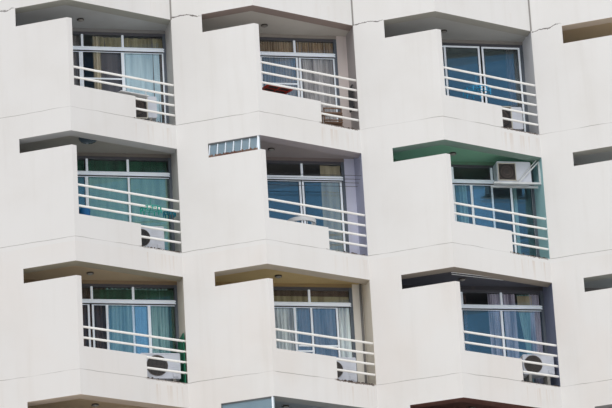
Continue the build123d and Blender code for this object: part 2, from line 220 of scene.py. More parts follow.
def noise(tree, vector, scale, detail=3.0, roughness=0.55):
    """A Noise Texture's value at a scale in repeats a metre."""
    inputs = {"Vector": vector, "Scale": scale, "Detail": detail, "Roughness": roughness}
    return put(tree, "ShaderNodeTexNoise", inputs).outputs["Fac"]


def ramp_between(tree, value, low, high, from_value=0.0, to_value=1.0):
    """Turns the stretch from low to high into a smooth mask."""
    inputs = {"Value": value, "From Min": low, "From Max": high, "To Min": from_value, "To Max": to_value}
    made = put(tree, "ShaderNodeMapRange", inputs, interpolation_type="SMOOTHSTEP")
    return made.outputs["Result"]


def blend(tree, factor, first, second, mode="MIX"):
    """A colour Mix node's result."""
    made = tree.nodes.new("ShaderNodeMix")
    made.data_type = "RGBA"
    made.blend_type = mode
    for socket, value in ((made.inputs[0], factor), (made.inputs[6], first), (made.inputs[7], second)):
        if isinstance(value, bpy.types.NodeSocket):
            tree.links.new(value, socket)
        else:
            socket.default_value = value
    return made.outputs[2]


def squeezed(tree, vector, scale):
    """Object coordinates stretched or squeezed along each axis."""
    return put(tree, "ShaderNodeMapping", {"Vector": vector, "Scale": scale}).outputs[0]


def shade(red, green, blue):
    """A linear colour from the display values 0 to 255 of a paint chart."""
    linear = []
    for value in (red, green, blue):
        part = value / 255
        linear.append(part / 12.92 if part <= 0.04045 else ((part + 0.055) / 1.055) ** 2.4)
    return (*linear, 1.0)


def new_group(name, inputs, outputs):
    """A node group with named sockets, its two end nodes already in place."""
    tree = bpy.data.node_groups.new(name, "ShaderNodeTree")
    for socket_name, kind, default in inputs:
        socket = tree.interface.new_socket(socket_name, in_out="INPUT", socket_type=kind)
        if default is not None:
            socket.default_value = default
    for socket_name, kind in outputs:
        tree.interface.new_socket(socket_name, in_out="OUTPUT", socket_type=kind)
    return tree, tree.nodes.new("NodeGroupInput"), tree.nodes.new("NodeGroupOutput")


def new_material(name):
    """A material with nodes, and its Principled shader."""
    material = bpy.data.materials.new(name)
    material.use_nodes = True
    return material, material.node_tree, material.node_tree.nodes["Principled BSDF"]


print("helpers ready")

# %% [markdown]
# ## Where on the block a point lies
# The walls are painted white outside, and each owner has painted the inside of the balcony in a
# colour of their own. The paint follows the place, so one group works out from the object
# coordinates in which bay and storey a point lies, how high above the sill, and how far behind
# the folded front. It looks a hand's width off the surface, on the air side, because a wall
# between two balconies takes the paint of the side that is seen.

# %% Group: balcony grid
grid_outputs = [
    ("Cell", "NodeSocketFloat"),
    ("Across", "NodeSocketFloat"),
    ("Height", "NodeSocketFloat"),
    ("Depth", "NodeSocketFloat"),
    ("Inside", "NodeSocketFloat"),
    ("Storey", "NodeSocketFloat"),
]
grid_group, _, grid_out = new_group("Balcony grid", [], grid_outputs)
tree = grid_group
place = put(tree, "ShaderNodeTexCoord").outputs["Object"]
facing = put(tree, "ShaderNodeNewGeometry").outputs["True Normal"]
step = put(tree, "ShaderNodeVectorMath", {0: facing, "Scale": 0.02}, operation="SCALE").outputs[0]
air = put(tree, "ShaderNodeVectorMath", {0: place, 1: step}, operation="ADD").outputs[0]
air_x, air_y, air_z = put(tree, "ShaderNodeSeparateXYZ", {0: air}).outputs
_, facing_y, facing_z = put(tree, "ShaderNodeSeparateXYZ", {0: facing}).outputs
side = product(tree, calc(tree, "SIGN", air_y), -1.0)
front_x = product(tree, air_x, side)
front_y = product(tree, air_y, side)
front_facing = product(tree, facing_y, side)
bays_along = calc(tree, "DIVIDE", calc(tree, "ADD", front_x, BAYS / 2 * BAY_WIDTH), BAY_WIDTH)
bay_number = calc(tree, "FLOOR", bays_along)
across = product(tree, calc(tree, "SUBTRACT", bays_along, bay_number), BAY_WIDTH)
left_leg = product(tree, across, -LEFT_SLOPE)
right_leg = product(tree, calc(tree, "SUBTRACT", BAY_WIDTH, across), -RIGHT_SLOPE)
fold_line = calc(tree, "MAXIMUM", left_leg, right_leg)
depth = calc(tree, "SUBTRACT", calc(tree, "ADD", front_y, VALLEY), fold_line)
storeys_up = calc(tree, "DIVIDE", calc(tree, "SUBTRACT", air_z, FIRST_SILL / 2), STOREY_HEIGHT)
storey_number = calc(tree, "FLOOR", storeys_up)
storey_foot = product(tree, storey_number, STOREY_HEIGHT)
height = calc(tree, "SUBTRACT", calc(tree, "SUBTRACT", air_z, FIRST_SILL), storey_foot)
masks = [
    calc(tree, "GREATER_THAN", depth, 0.0),
    calc(tree, "GREATER_THAN", front_facing, -0.3),
    calc(tree, "LESS_THAN", facing_z, 0.5),
    calc(tree, "LESS_THAN", storey_number, STOREYS - 0.5),
    calc(tree, "LESS_THAN", calc(tree, "ABSOLUTE", air_x), BAYS / 2 * BAY_WIDTH),
]
inside = product(tree, *masks)
cell_number = calc(tree, "ADD", product(tree, storey_number, BAYS), bay_number)
rear_shift = product(tree, calc(tree, "LESS_THAN", side, 0.0), 7.0)
cell_number = calc(tree, "MODULO", calc(tree, "ADD", cell_number, rear_shift), BAYS * STOREYS)
results = (cell_number, across, height, depth, inside, storey_number)
for (socket_name, _), result in zip(grid_outputs, results):
    tree.links.new(result, grid_out.inputs[socket_name])
print("grid group:", len(tree.nodes), "nodes")

# %% [markdown]
# ## The owners' paints
# Seen from below, each balcony shows the underside of its edge beam, its ceiling and the side
# wall, and each has its own colours. A colour ramp with one flat step for each balcony holds
# them, because a ramp is the shortest way to look a colour up by a number.

# %% Paint sets of the balconies
paint_sets = {  # underside of the beam, ceiling, wall beside the window, side of the fin
    "stone": ((156, 156, 149), (180, 182, 183), (192, 190, 187), (196, 193, 190)),
    "taupe": ((149, 133, 127), (205, 200, 193), (217, 207, 204), (176, 170, 170)),
    "sand": ((168, 165, 157), (186, 185, 182), (206, 204, 200), (216, 217, 221)),
    "ash": ((176, 176, 178), (165, 161, 155), (176, 172, 168), (190, 187, 184)),
    "lilac": ((164, 156, 160), (174, 164, 163), (213, 216, 235), (179, 183, 208)),
    "green": ((126, 150, 140), (136, 190, 161), (146, 194, 188), (170, 216, 221)),
    "tan": ((156, 148, 130), (192, 170, 139), (206, 196, 182), (216, 208, 196)),
    "straw": ((186, 174, 157), (204, 178, 127), (232, 228, 220), (232, 223, 208)),
    "slate": ((158, 147, 136), (93, 94, 104), (100, 100, 114), (119, 126, 150)),
    "putty": ((206, 188, 170), (190, 166, 134), (206, 194, 180), (206, 198, 188)),
    "lead": ((149, 149, 147), (142, 147, 152), (160, 164, 170), (166, 170, 176)),
    "rust": ((104, 64, 54), (84, 44, 38), (140, 92, 76), (150, 104, 88)),
}
balcony_paints = [  # bays 1 to 4 of each storey, from the lowest storey up
    ("sand", "ash", "stone", "putty"),
    ("putty", "lead", "rust", "ash"),
    ("tan", "straw", "slate", "stone"),
    ("ash", "lilac", "green", "sand"),
    ("stone", "taupe", "sand", "putty"),
]
paint_names = [name for row in balcony_paints for name in row]


def add_paint_ramp(tree, cell_socket, part):
    """A ramp with one flat step of paint for each balcony."""
    position = calc(tree, "DIVIDE", calc(tree, "ADD", cell_socket, 0.5), len(paint_names))
    ramp = put(tree, "ShaderNodeValToRGB", {"Fac": position})
    ramp.color_ramp.interpolation = "CONSTANT"
    steps = ramp.color_ramp.elements
    while len(steps) < len(paint_names):
        steps.new(len(steps) / len(paint_names))
    for number, name in enumerate(paint_names):
        steps[number].position = number / len(paint_names)
        steps[number].color = shade(*paint_sets[name][part])
    return ramp.outputs[0]


paint_outputs = [(name, "NodeSocketColor") for name in ("Beam", "Ceiling", "Side", "Fin")]
paint_inputs = [("Cell", "NodeSocketFloat", 0.0)]
paint_group, paint_in, paint_out = new_group("Owners' paint", paint_inputs, paint_outputs)
for part in range(len(paint_outputs)):
    paint_group.links.new(add_paint_ramp(paint_group, paint_in.outputs[0], part), paint_out.inputs[part])
print("paints:", len(paint_sets), "balconies:", len(paint_names))

# %% [markdown]
# ## Weather on painted render
# Years of rain leave the same marks on all the painted walls: soft grey patches, upright
# streaks, and a grain that only shows close by. They are one group, so every wall material
# gets them with its own strength. The patches and streaks are noise at two scales, and the
# streaks come from squeezing the coordinates upright.

# %% Group: weather
weather_inputs = [
    ("Paint", "NodeSocketColor", (0.8, 0.8, 0.8, 1.0)),
    ("Stain", "NodeSocketColor", (0.42, 0.38, 0.33, 1.0)),
    ("Patches", "NodeSocketFloat", 0.1),
    ("Streaks", "NodeSocketFloat", 0.1),
    ("Grain", "NodeSocketFloat", 0.3),
]
weather_outputs = [
    ("Color", "NodeSocketColor"),
    ("Roughness", "NodeSocketFloat"),
    ("Height", "NodeSocketFloat"),
]
weather_group, weather_in, weather_out = new_group("Weather", weather_inputs, weather_outputs)
tree = weather_group
place = put(tree, "ShaderNodeTexCoord").outputs["Object"]
patch_mask = ramp_between(tree, noise(tree, place, 0.55, 4.0), 0.42, 0.75)
streak_noise = noise(tree, squeezed(tree, place, (5.0, 5.0, 0.35)), 1.0, 4.0)
streak_mask = ramp_between(tree, streak_noise, 0.48, 0.8)
patchy = blend(tree, product(tree, patch_mask, weather_in.outputs["Patches"]),
               weather_in.outputs["Paint"], weather_in.outputs["Stain"])
streaky = blend(tree, product(tree, streak_mask, weather_in.outputs["Streaks"]),
                patchy, weather_in.outputs["Stain"])
grain = noise(tree, place, 55.0, 4.0, 0.65)
broad = noise(tree, place, 3.5, 2.0)
grained = product(tree, calc(tree, "SUBTRACT", grain, 0.5), weather_in.outputs["Grain"])
tone = calc(tree, "ADD", product(tree, grained, 0.16), 1.0)
toned = put(tree, "ShaderNodeVectorMath", {0: streaky, "Scale": tone}, operation="SCALE").outputs[0]
rough = calc(tree, "ADD", product(tree, patch_mask, 0.12), 0.78)
relief = calc(tree, "ADD", product(tree, grain, 0.3), product(tree, broad, 0.7))
tree.links.new(toned, weather_out.inputs["Color"])
tree.links.new(rough, weather_out.inputs["Roughness"])
tree.links.new(relief, weather_out.inputs["Height"])
print("weather group:", len(tree.nodes), "nodes")

# %% [markdown]
# ## Lines and runs on the fronts
# Some marks belong to the fronts alone. A hairline follows the zigzag at the level of each
# sill, where one pour of concrete met the next. Under the open end of each balcony the sill
# carries a ragged line of dirt, with thin rusty runs below it. A crack wanders across the piers
# of the top storey at the level of their beams. The valleys of the parapets above and of the top
# beams carry a dark line, which is painted shade in the crease where the walls meet. The lower
# storeys have yellowed, and the leftmost bay is duller. Each is a narrow mask on height or place,
# broken up by noise so that it never reads as a drawn line.

# %% Group: marks on the fronts
CRACK_HEIGHT = 2.42  # above the sill
BEAM_FOOT = 2.41
mark_inputs = [
    ("Paint", "NodeSocketColor", (0.8, 0.8, 0.8, 1.0)),
    ("Across", "NodeSocketFloat", 0.0),
    ("Height", "NodeSocketFloat", 0.0),
    ("Storey", "NodeSocketFloat", 0.0),
]
mark_outputs = [("Color", "NodeSocketColor")]
mark_group, mark_in, mark_out = new_group("Marks on the fronts", mark_inputs, mark_outputs)
tree = mark_group
place = put(tree, "ShaderNodeTexCoord").outputs["Object"]
across, height, storey_number = (mark_in.outputs[name] for name in ("Across", "Height", "Storey"))
wander = product(tree, calc(tree, "SUBTRACT", noise(tree, place, 1.7), 0.5), 0.05)
line_offset = calc(tree, "ABSOLUTE", calc(tree, "ADD", height, wander))
line = ramp_between(tree, line_offset, 0.002, 0.009, 1.0, 0.0)
line_breaks = ramp_between(tree, noise(tree, place, 1.1, 2.0), 0.34, 0.58, 0.15, 0.75)
below_roof = calc(tree, "LESS_THAN", storey_number, STOREYS - 0.5)
line_mask = product(tree, line, line_breaks, below_roof)
aged = calc(tree, "LESS_THAN", storey_number, 2.5)
tint_noise = noise(tree, squeezed(tree, place, (0.8, 0.8, 0.5)), 1.0, 3.0)
tint_mask = ramp_between(tree, tint_noise, 0.38, 0.68, 0.05, 0.3)
tint_amount = product(tree, tint_mask, aged)
tinted = blend(tree, tint_amount, mark_in.outputs["Paint"], shade(224, 214, 207))
lined = blend(tree, line_mask, tinted, shade(112, 104, 98))

from_left = ramp_between(tree, across, 3.0, 3.12)
open_end = product(tree, from_left, ramp_between(tree, across, 3.93, 4.0, 1.0, 0.0))
storey_drop = calc(tree, "SUBTRACT", STOREY_HEIGHT, height)
run_noise = noise(tree, squeezed(tree, place, (16.0, 16.0, 0.5)), 1.0, 3.0)
run_length = ramp_between(tree, storey_drop, 0.02, 0.7, 1.0, 0.0)
run_mask = product(tree, ramp_between(tree, run_noise, 0.5, 0.68), run_length)
open_below_roof = product(tree, open_end, below_roof)
top_row = calc(tree, "COMPARE", storey_number, STOREYS - 1.0, 0.1)
run_strength = calc(tree, "SUBTRACT", 0.36, product(tree, top_row, 0.28))
run_mask = product(tree, run_mask, open_below_roof, run_strength)
rusty = blend(tree, run_mask, lined, shade(200, 180, 158))
ragged = product(tree, noise(tree, place, 14.0, 3.0, 0.7), 0.085)
dirt_edge = calc(tree, "LESS_THAN", calc(tree, "ABSOLUTE", height), calc(tree, "SUBTRACT", ragged, 0.02))
balcony_noise = noise(tree, squeezed(tree, place, (0.21, 0.21, 0.3)), 1.0, 0.0)
dirty_balconies = ramp_between(tree, balcony_noise, 0.4, 0.6, 0.25, 0.85)
dirt_mask = product(tree, dirt_edge, open_below_roof, dirty_balconies)
dirty = blend(tree, dirt_mask, rusty, shade(84, 66, 56))

slow_wander = product(tree, calc(tree, "SUBTRACT", noise(tree, place, 2.1, 1.0), 0.5), 0.3)
quick_wander = product(tree, calc(tree, "SUBTRACT", noise(tree, place, 8.0, 4.0, 0.8), 0.5), 0.13)
crack_wander = calc(tree, "ADD", slow_wander, quick_wander)
above_crack = calc(tree, "SUBTRACT", height, CRACK_HEIGHT)
crack_offset = calc(tree, "ABSOLUTE", calc(tree, "ADD", above_crack, crack_wander))
crack = ramp_between(tree, crack_offset, 0.006, 0.019, 1.0, 0.0)
on_pier = ramp_between(tree, across, 0.45, 0.62, 1.0, 0.0)
crack_mask = product(tree, crack, on_pier, top_row)
cracked = blend(tree, product(tree, crack_mask, 0.9), dirty, shade(70, 60, 56))

from_valley = calc(tree, "MINIMUM", across, calc(tree, "SUBTRACT", BAY_WIDTH, across))
# A dark line down each valley of the parapets and top beams: painted shade in the crease.
valley_crease_shade = ramp_between(tree, from_valley, 0.006, 0.014, 1.0, 0.0)
above_roof = calc(tree, "GREATER_THAN", storey_number, STOREYS - 0.5)
upper_beam = product(tree, top_row, calc(tree, "GREATER_THAN", height, BEAM_FOOT))
valley_crease_shade_mask = product(tree, valley_crease_shade, calc(tree, "MAXIMUM", above_roof, upper_beam))
with_valley_crease_shade = blend(tree, product(tree, valley_crease_shade_mask, 0.75), cracked, shade(92, 86, 82))
along = put(tree, "ShaderNodeSeparateXYZ", {0: place}).outputs[0]
end_bay = ramp_between(tree, along, -4.9, -4.4, 0.22, 0.0)
dulled = blend(tree, end_bay, with_valley_crease_shade, shade(196, 194, 194))
tree.links.new(dulled, mark_out.inputs["Color"])
print("mark group:", len(tree.nodes), "nodes")

# %% [markdown]
# ## Wall paint, outside and inside
# The outer walls are an old white masonry paint on smooth render. The same material carries
# the owners' colours where the grid says that a face looks into a balcony: the underside of the
# beams takes one colour and the side walls another. A very low bump is enough, since the render
# is trowelled flat.

# %% Material: outer walls
WHITE_PAINT = shade(227, 226, 225)


def use_group(tree, group, **inputs):
    """Places a node group in a material."""
    made = tree.nodes.new("ShaderNodeGroup")
    made.node_tree = group
    for key, value in inputs.items():
        if isinstance(value, bpy.types.NodeSocket):
            tree.links.new(value, made.inputs[key])
        else:
            made.inputs[key].default_value = value
    return made


def finish_wall(tree, shader, weather, bump_strength):
    """Joins a weather group to the shader, with its height as a bump."""
    inputs = {"Height": weather.outputs["Height"], "Strength": bump_strength, "Distance": 0.01}
    bump = put(tree, "ShaderNodeBump", inputs)
    tree.links.new(weather.outputs["Color"], shader.inputs["Base Color"])
    tree.links.new(weather.outputs["Roughness"], shader.inputs["Roughness"])
    tree.links.new(bump.outputs[0], shader.inputs["Normal"])


def facing_down(tree):
    """A mask of the faces that look down."""
    normal = put(tree, "ShaderNodeNewGeometry").outputs["True Normal"]
    upright = put(tree, "ShaderNodeSeparateXYZ", {0: normal}).outputs[2]
    return calc(tree, "LESS_THAN", upright, -0.5)


outer_render, tree, shader = new_material("outer_render")
grid = use_group(tree, grid_group)
paint = use_group(tree, paint_group, Cell=grid.outputs["Cell"])
marks = use_group(tree, mark_group, Paint=WHITE_PAINT, Across=grid.outputs["Across"],
                  Height=grid.outputs["Height"], Storey=grid.outputs["Storey"])
inner_paint = blend(tree, facing_down(tree), paint.outputs["Fin"], paint.outputs["Beam"])
both = blend(tree, grid.outputs["Inside"], marks.outputs[0], inner_paint)
weather = use_group(tree, weather_group, Paint=both, Stain=shade(176, 166, 152),
                    Patches=0.1, Streaks=0.09, Grain=0.2)
finish_wall(tree, shader, weather, 0.1)


def repaint(names, material):
    """Gives solids of the frame their material."""
    for name in names:
        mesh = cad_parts[name].data
        mesh.materials.clear()
        mesh.materials.append(material)


def both_sides(*kinds):
    """The names of solids that the front and the rear both have."""
    return [f"{half}_{kind}" for half in ("front", "rear") for kind in kinds]


repaint(both_sides("fins", "piers", "left_beams", "right_beams", "screens", "parapets"), outer_render)
repaint(["gable_walls", "gable_spandrels", "left_roof_parapets", "right_roof_parapets"], outer_render)
print("outer walls painted")

# %% Materials: side walls, slabs, floors, steps and roof
WALL_STAIN = shade(120, 108, 96)
TILE = 0.33
tile_inputs = {
    "Color1": shade(186, 176, 160),
    "Color2": shade(176, 166, 150),
    "Mortar": shade(128, 120, 110),
    "Scale": 1.0,
    "Mortar Size": 0.006,
    "Brick Width": TILE,
    "Row Height": TILE,
}


def owners_paint(tree, part):
    """One of the owner's colours, by the place on the block."""
    cell_socket = use_group(tree, grid_group).outputs["Cell"]
    return use_group(tree, paint_group, Cell=cell_socket).outputs[part]


inner_wall, tree, shader = new_material("inner_wall")
side_paint = owners_paint(tree, "Side")
weather = use_group(tree, weather_group, Paint=side_paint, Stain=WALL_STAIN, Patches=0.2, Streaks=0.2)
finish_wall(tree, shader, weather, 0.1)
repaint(both_sides("jamb_walls"), inner_wall)

lintel_paint, tree, shader = new_material("lintel_paint")
# The lintels take the ceiling colour made darker: painted shade in the recess under the ceiling.
lintel_painted_shade = blend(tree, 1.0, owners_paint(tree, "Ceiling"), shade(196, 192, 190), "MULTIPLY")
weather = use_group(tree, weather_group, Paint=lintel_painted_shade, Stain=WALL_STAIN, Patches=0.2, Streaks=0.2)
finish_wall(tree, shader, weather, 0.1)
repaint(both_sides("lintels"), lintel_paint)

balcony_slab, tree, shader = new_material("balcony_slab")
place = put(tree, "ShaderNodeTexCoord").outputs["Object"]
tiles = put(tree, "ShaderNodeTexBrick", {"Vector": place, **tile_inputs}, offset=0.0)
ceiling_paint = owners_paint(tree, "Ceiling")
ceiling_or_tiles = blend(tree, facing_down(tree), tiles.outputs["Color"], ceiling_paint)
weather = use_group(tree, weather_group, Paint=ceiling_or_tiles, Stain=shade(96, 84, 72),
                    Patches=0.25, Streaks=0.0)
finish_wall(tree, shader, weather, 0.08)
repaint(both_sides("balcony_slabs"), balcony_slab)


def plain_mineral(name, colour, stain, patches, streaks, bump_strength):
    """A painted or bare mineral surface with weather on it."""
    material, tree, shader = new_material(name)
    weather = use_group(tree, weather_group, Paint=colour, Stain=stain, Patches=patches, Streaks=streaks)
    finish_wall(tree, shader, weather, bump_strength)
    return material


# The floors and ceilings of the rooms are painted dark: painted shade for the dim rooms behind the glass.
room_floor = plain_mineral("room_floor", shade(120, 116, 112), shade(90, 84, 78), 0.2, 0.0, 0.05)
roof_deck = plain_mineral("roof_deck", shade(150, 148, 144), shade(86, 84, 80), 0.6, 0.0, 0.3)
step_concrete = plain_mineral("step_concrete", shade(158, 154, 148), shade(96, 90, 84), 0.5, 0.0, 0.4)
foot_concrete = plain_mineral("foot_concrete", shade(148, 146, 142), shade(84, 78, 72), 0.5, 0.3, 0.4)
repaint(["ground_floor", "upper_floors"], room_floor)
repaint(["roof_slab"], roof_deck)
repaint(["entrance_steps"], step_concrete)
repaint(["cooler_feet"], foot_concrete)
print("mineral surfaces done")

# %% [markdown]
# ## White metal
# Window frames are white coated aluminium, smooth with a faint sheen, and their posts are grey.
# Their head bars are painted dark grey as the shade under the ceiling just above them. The rails
# are steel tubes under many coats of gloss paint, a little yellowed and marked by rust specks, and
# the air conditioners are sheet steel in a cool white. They differ in gloss and in how their dirt
# lies, so they share a dirt group and take different values. The white frames are given a faint
# glow, which is painted light for the sky they catch beyond what the deep balcony lets in. The head
# bars, with their painted shade, are left without it.

# %% Group: dirt on paint
dirt_inputs = [
    ("Paint", "NodeSocketColor", (0.8, 0.8, 0.8, 1.0)),
    ("Dirt", "NodeSocketColor", (0.3, 0.25, 0.2, 1.0)),
    ("Amount", "NodeSocketFloat", 0.2),
    ("Gloss roughness", "NodeSocketFloat", 0.35),
]
dirt_group, dirt_in, dirt_out = new_group("Dirt on paint", dirt_inputs, weather_outputs)
tree = dirt_group
place = put(tree, "ShaderNodeTexCoord").outputs["Object"]
film = ramp_between(tree, noise(tree, squeezed(tree, place, (3.0, 3.0, 1.2)), 1.0, 4.0), 0.4, 0.75)
specks = ramp_between(tree, noise(tree, place, 38.0, 2.0), 0.66, 0.74)
film_amount = calc(tree, "MULTIPLY", calc(tree, "ADD", film, specks), dirt_in.outputs["Amount"], clamp=True)
soiled = blend(tree, film_amount, dirt_in.outputs["Paint"], dirt_in.outputs["Dirt"])
dull = calc(tree, "ADD", product(tree, film, 0.2), dirt_in.outputs["Gloss roughness"])
for result, name in ((soiled, "Color"), (dull, "Roughness"), (noise(tree, place, 20.0), "Height")):
    tree.links.new(result, dirt_out.inputs[name])
print("dirt group:", len(tree.nodes), "nodes")

# %% Materials: frames, rails, coolers, brackets, pipes
def coated(name, colour, dirt, amount, roughness, bump_strength=0.04, metallic=0.0):
    """A coated metal or plastic surface with a film of dirt."""
    material, tree, shader = new_material(name)
    shader.inputs["Metallic"].default_value = metallic
    soil = use_group(tree, dirt_group, Paint=colour, Dirt=dirt, Amount=amount)
    soil.inputs["Gloss roughness"].default_value = roughness
    finish_wall(tree, shader, soil, bump_strength)
    return material


# The frames' faint emission is painted light: they glow, though they are no lamp.
FRAME_GLOW = (0.72, 0.86, 1.0, 1.0)
NO_GLOW = (0.0, 0.0, 0.0, 1.0)
GLOW_STRENGTH = 0.13
white_frame = coated("white_frame", shade(244, 249, 255), shade(186, 190, 196), 0.1, 0.3)
frame_shader = white_frame.node_tree.nodes["Principled BSDF"]
frame_shader.inputs["Emission Color"].default_value = FRAME_GLOW
frame_shader.inputs["Emission Strength"].default_value = GLOW_STRENGTH
seal_rubber = coated("seal_rubber", shade(46, 44, 46), shade(92, 86, 80), 0.3, 0.7)
rail_paint = coated("rail_paint", shade(250, 249, 246), shade(186, 168, 148), 0.16, 0.28)
cooler_paint = coated("cooler_paint", shade(212, 216, 226), shade(140, 134, 126), 0.2, 0.35)
bracket_metal = coated("bracket_metal", shade(220, 224, 226), shade(140, 110, 90), 0.25, 0.4)
pipe_plastic = coated("pipe_plastic", shade(120, 118, 116), shade(70, 66, 62), 0.3, 0.4)
door_panel = coated("door_panel", shade(120, 92, 66), shade(70, 54, 42), 0.3, 0.4)
repaint(["corridor_window_frames", "entrance_frames"], white_frame)

post_paint = coated("post_paint", shade(98, 106, 116), shade(72, 78, 84), 0.3, 0.4)
repaint(both_sides("window_jambs"), post_paint)
bar_paint = white_frame.copy()
bar_paint.name = "bar_paint"
tree = bar_paint.node_tree
shader = tree.nodes["Principled BSDF"]
white_paint = shader.inputs["Base Color"].links[0].from_socket
height = use_group(tree, grid_group).outputs["Height"]
# The head of the bars is painted dark grey, which is painted shade under the ceiling, and takes no glow.
head_shade_mask = calc(tree, "GREATER_THAN", height, HEAD_Z - FRAME_BAR - 0.03)
tree.links.new(blend(tree, head_shade_mask, white_paint, shade(88, 88, 94)), shader.inputs["Base Color"])
tree.links.new(blend(tree, head_shade_mask, FRAME_GLOW, NO_GLOW), shader.inputs["Emission Color"])
repaint(both_sides("window_bars"), bar_paint)
repaint(both_sides("rails"), rail_paint)
repaint(both_sides("air_conditioners"), cooler_paint)
repaint(["cooler_brackets"], bracket_metal)
repaint(["drain_pipes"], pipe_plastic)
repaint(["entrance_doors"], door_panel)
print("coated metal done")

# %% [markdown]
# ## Window glass
# The panes mirror the sky and still let the curtains show. A mirror coat over a pane that is
# mostly clear gives both at once: the shader is a pale mirror, and its alpha lets most of the
# light through.
# A pane has a front and a back face, so each face takes half of the whole effect, and where two
# sashes overlap the sky shows twice as strongly, as it does on the real windows. The panes lean
# a little, which a bump can state: its height changes evenly upwards.

# %% Materials: glass
PANE_LEAN = 0.035  # metres a metre


def pane_glass(name, tint, mirror, roughness, dust=0.04):
    """A clear pane with a share of mirror on each face."""
    material, tree, shader = new_material(name)
    shader.inputs["Base Color"].default_value = tint
    shader.inputs["Metallic"].default_value = 1.0
    place = put(tree, "ShaderNodeTexCoord").outputs["Object"]
    film = ramp_between(tree, noise(tree, squeezed(tree, place, (1.5, 1.5, 0.8)), 1.0, 3.0), 0.3, 0.8)
    share = calc(tree, "ADD", product(tree, film, dust), mirror)
    tree.links.new(share, shader.inputs["Alpha"])
    dull = calc(tree, "ADD", product(tree, film, 0.03), roughness)
    tree.links.new(dull, shader.inputs["Roughness"])
    waves = {"Height": noise(tree, place, 1.3, 1.0), "Strength": 0.1, "Distance": 0.002}
    ripple = put(tree, "ShaderNodeBump", waves).outputs[0]
    level = put(tree, "ShaderNodeSeparateXYZ", {0: place}).outputs[2]
    behind = put(tree, "ShaderNodeNewGeometry").outputs["Backfacing"]
    side = calc(tree, "SUBTRACT", 1.0, product(tree, behind, 2.0))
    lean_height = product(tree, level, PANE_LEAN, side)
    tilt = {"Height": lean_height, "Strength": 1.0, "Distance": 1.0, "Normal": ripple}
    tree.links.new(put(tree, "ShaderNodeBump", tilt).outputs[0], shader.inputs["Normal"])
    return material


window_glass = pane_glass("window_glass", (0.56, 0.76, 0.84, 1.0), 0.15, 0.02)
clean_glass = pane_glass("clean_glass", (0.7, 0.8, 0.86, 1.0), 0.012, 0.02, 0.01)
light_glass = pane_glass("light_glass", (0.6, 0.72, 0.74, 1.0), 0.05, 0.02)
bright_glass = pane_glass("bright_glass", (0.74, 0.9, 0.96, 1.0), 0.4, 0.02)
slot_glass = pane_glass("slot_glass", (0.74, 0.8, 0.76, 1.0), 0.34, 0.35)
GLASS_KINDS = [window_glass, clean_glass, light_glass, bright_glass]
repaint(both_sides("window_glass") + ["corridor_window_glass"], window_glass)
repaint(["slot_glazing"], slot_glass)
print("glass done")

# %% [markdown]
# ## Sliding sashes
# Behind each balcony a window fills the wall. Its upper lights are fixed, with a bar at each
# quarter, and below the transom four sashes slide on two tracks. A sash is a frame of one
# even bar: a flat square is inset, its middle is taken out, and the ring that is left is
# extruded. Where the photograph shows them, the sashes stand as it shows them, some of them
# pushed open, so the plain pane of the solids is replaced by one pane for each sash.

# %% Where the sashes stand
NO_TRANSOM = {(5, 3)}


def window_span(bay):
    """The clear width between the window's jambs: the wall beside it changes sides."""
    left, right = (0.37, 4.0) if bay % 2 else (0.15, 3.78)
    return left + FRAME_BAR, right - FRAME_BAR


OVERLAP = 0.022  # how far one sash reaches over the next


def shut_sashes(bay):
    """Four shut sashes: left and right ends, the track, 0 for the outer one, and the glass."""
    left, right = window_span(bay)
    quarter = (right - left) / 4
    middle = (left + right) / 2
    return [
        (left - 0.01, left + quarter + OVERLAP, 1, 0),
        (left + quarter - OVERLAP, middle, 0, 0),
        (middle, right - quarter + OVERLAP, 0, 0),
        (right - quarter - OVERLAP, right + 0.01, 1, 0),
    ]


seen_sashes = {  # left and right ends, track, and which glass
    (5, 1): [(1.29, 2.15, 1, 1), (2.15, 3.06, 0, 1), (3.045, 3.95, 1, 2)],
    (4, 1): [(1.31, 2.18, 1, 0), (2.16, 3.09, 0, 0), (3.05, 4.0, 1, 0)],
    (3, 1): [(1.2, 2.13, 0, 1), (2.18, 2.53, 1, 1), (2.47, 3.4, 0, 0), (3.03, 3.42, 1, 3),
             (3.36, 4.0, 1, 2)],
    (5, 2): [(1.22, 2.04, 1, 0), (2.06, 2.9, 0, 0), (2.93, 3.73, 1, 1)],
    (4, 2): [(0.95, 1.89, 0, 0), (1.87, 2.81, 1, 0), (2.83, 3.706, 0, 0)],
    (3, 2): [(1.6, 2.53, 1, 1), (2.49, 2.89, 0, 0), (2.85, 3.45, 1, 0)],
    (5, 3): [(1.3, 2.24, 1, 0), (2.2, 3.01, 0, 0), (3.06, 3.93, 1, 0)],
    (4, 3): [(1.25, 2.2, 0, 0), (2.17, 2.62, 1, 0), (2.56, 3.07, 1, 0), (2.56, 3.495, 0, 0),
             (3.46, 3.98, 1, 0)],
    (3, 3): [(1.28, 2.16, 0, 0), (2.14, 3.06, 0, 0), (3.03, 4.0, 1, 0)],
}
mid_rails = {  # balcony: the rail's ends and height
    (5, 1): [(2.14, 3.05, 1.3)],
    (5, 2): [(2.08, 2.88, 1.3)],
    (3, 2): [(2.5, 2.89, 0.95), (2.55, 3.43, 1.07)],
}
print("windows drawn from the photograph:", len(seen_sashes))

# %% Sashes and their panes
SASH_BAR = 0.058
TRACK_STEP = 0.013  # from the outer track back to the inner one
MID_RAIL_HALF = 0.018


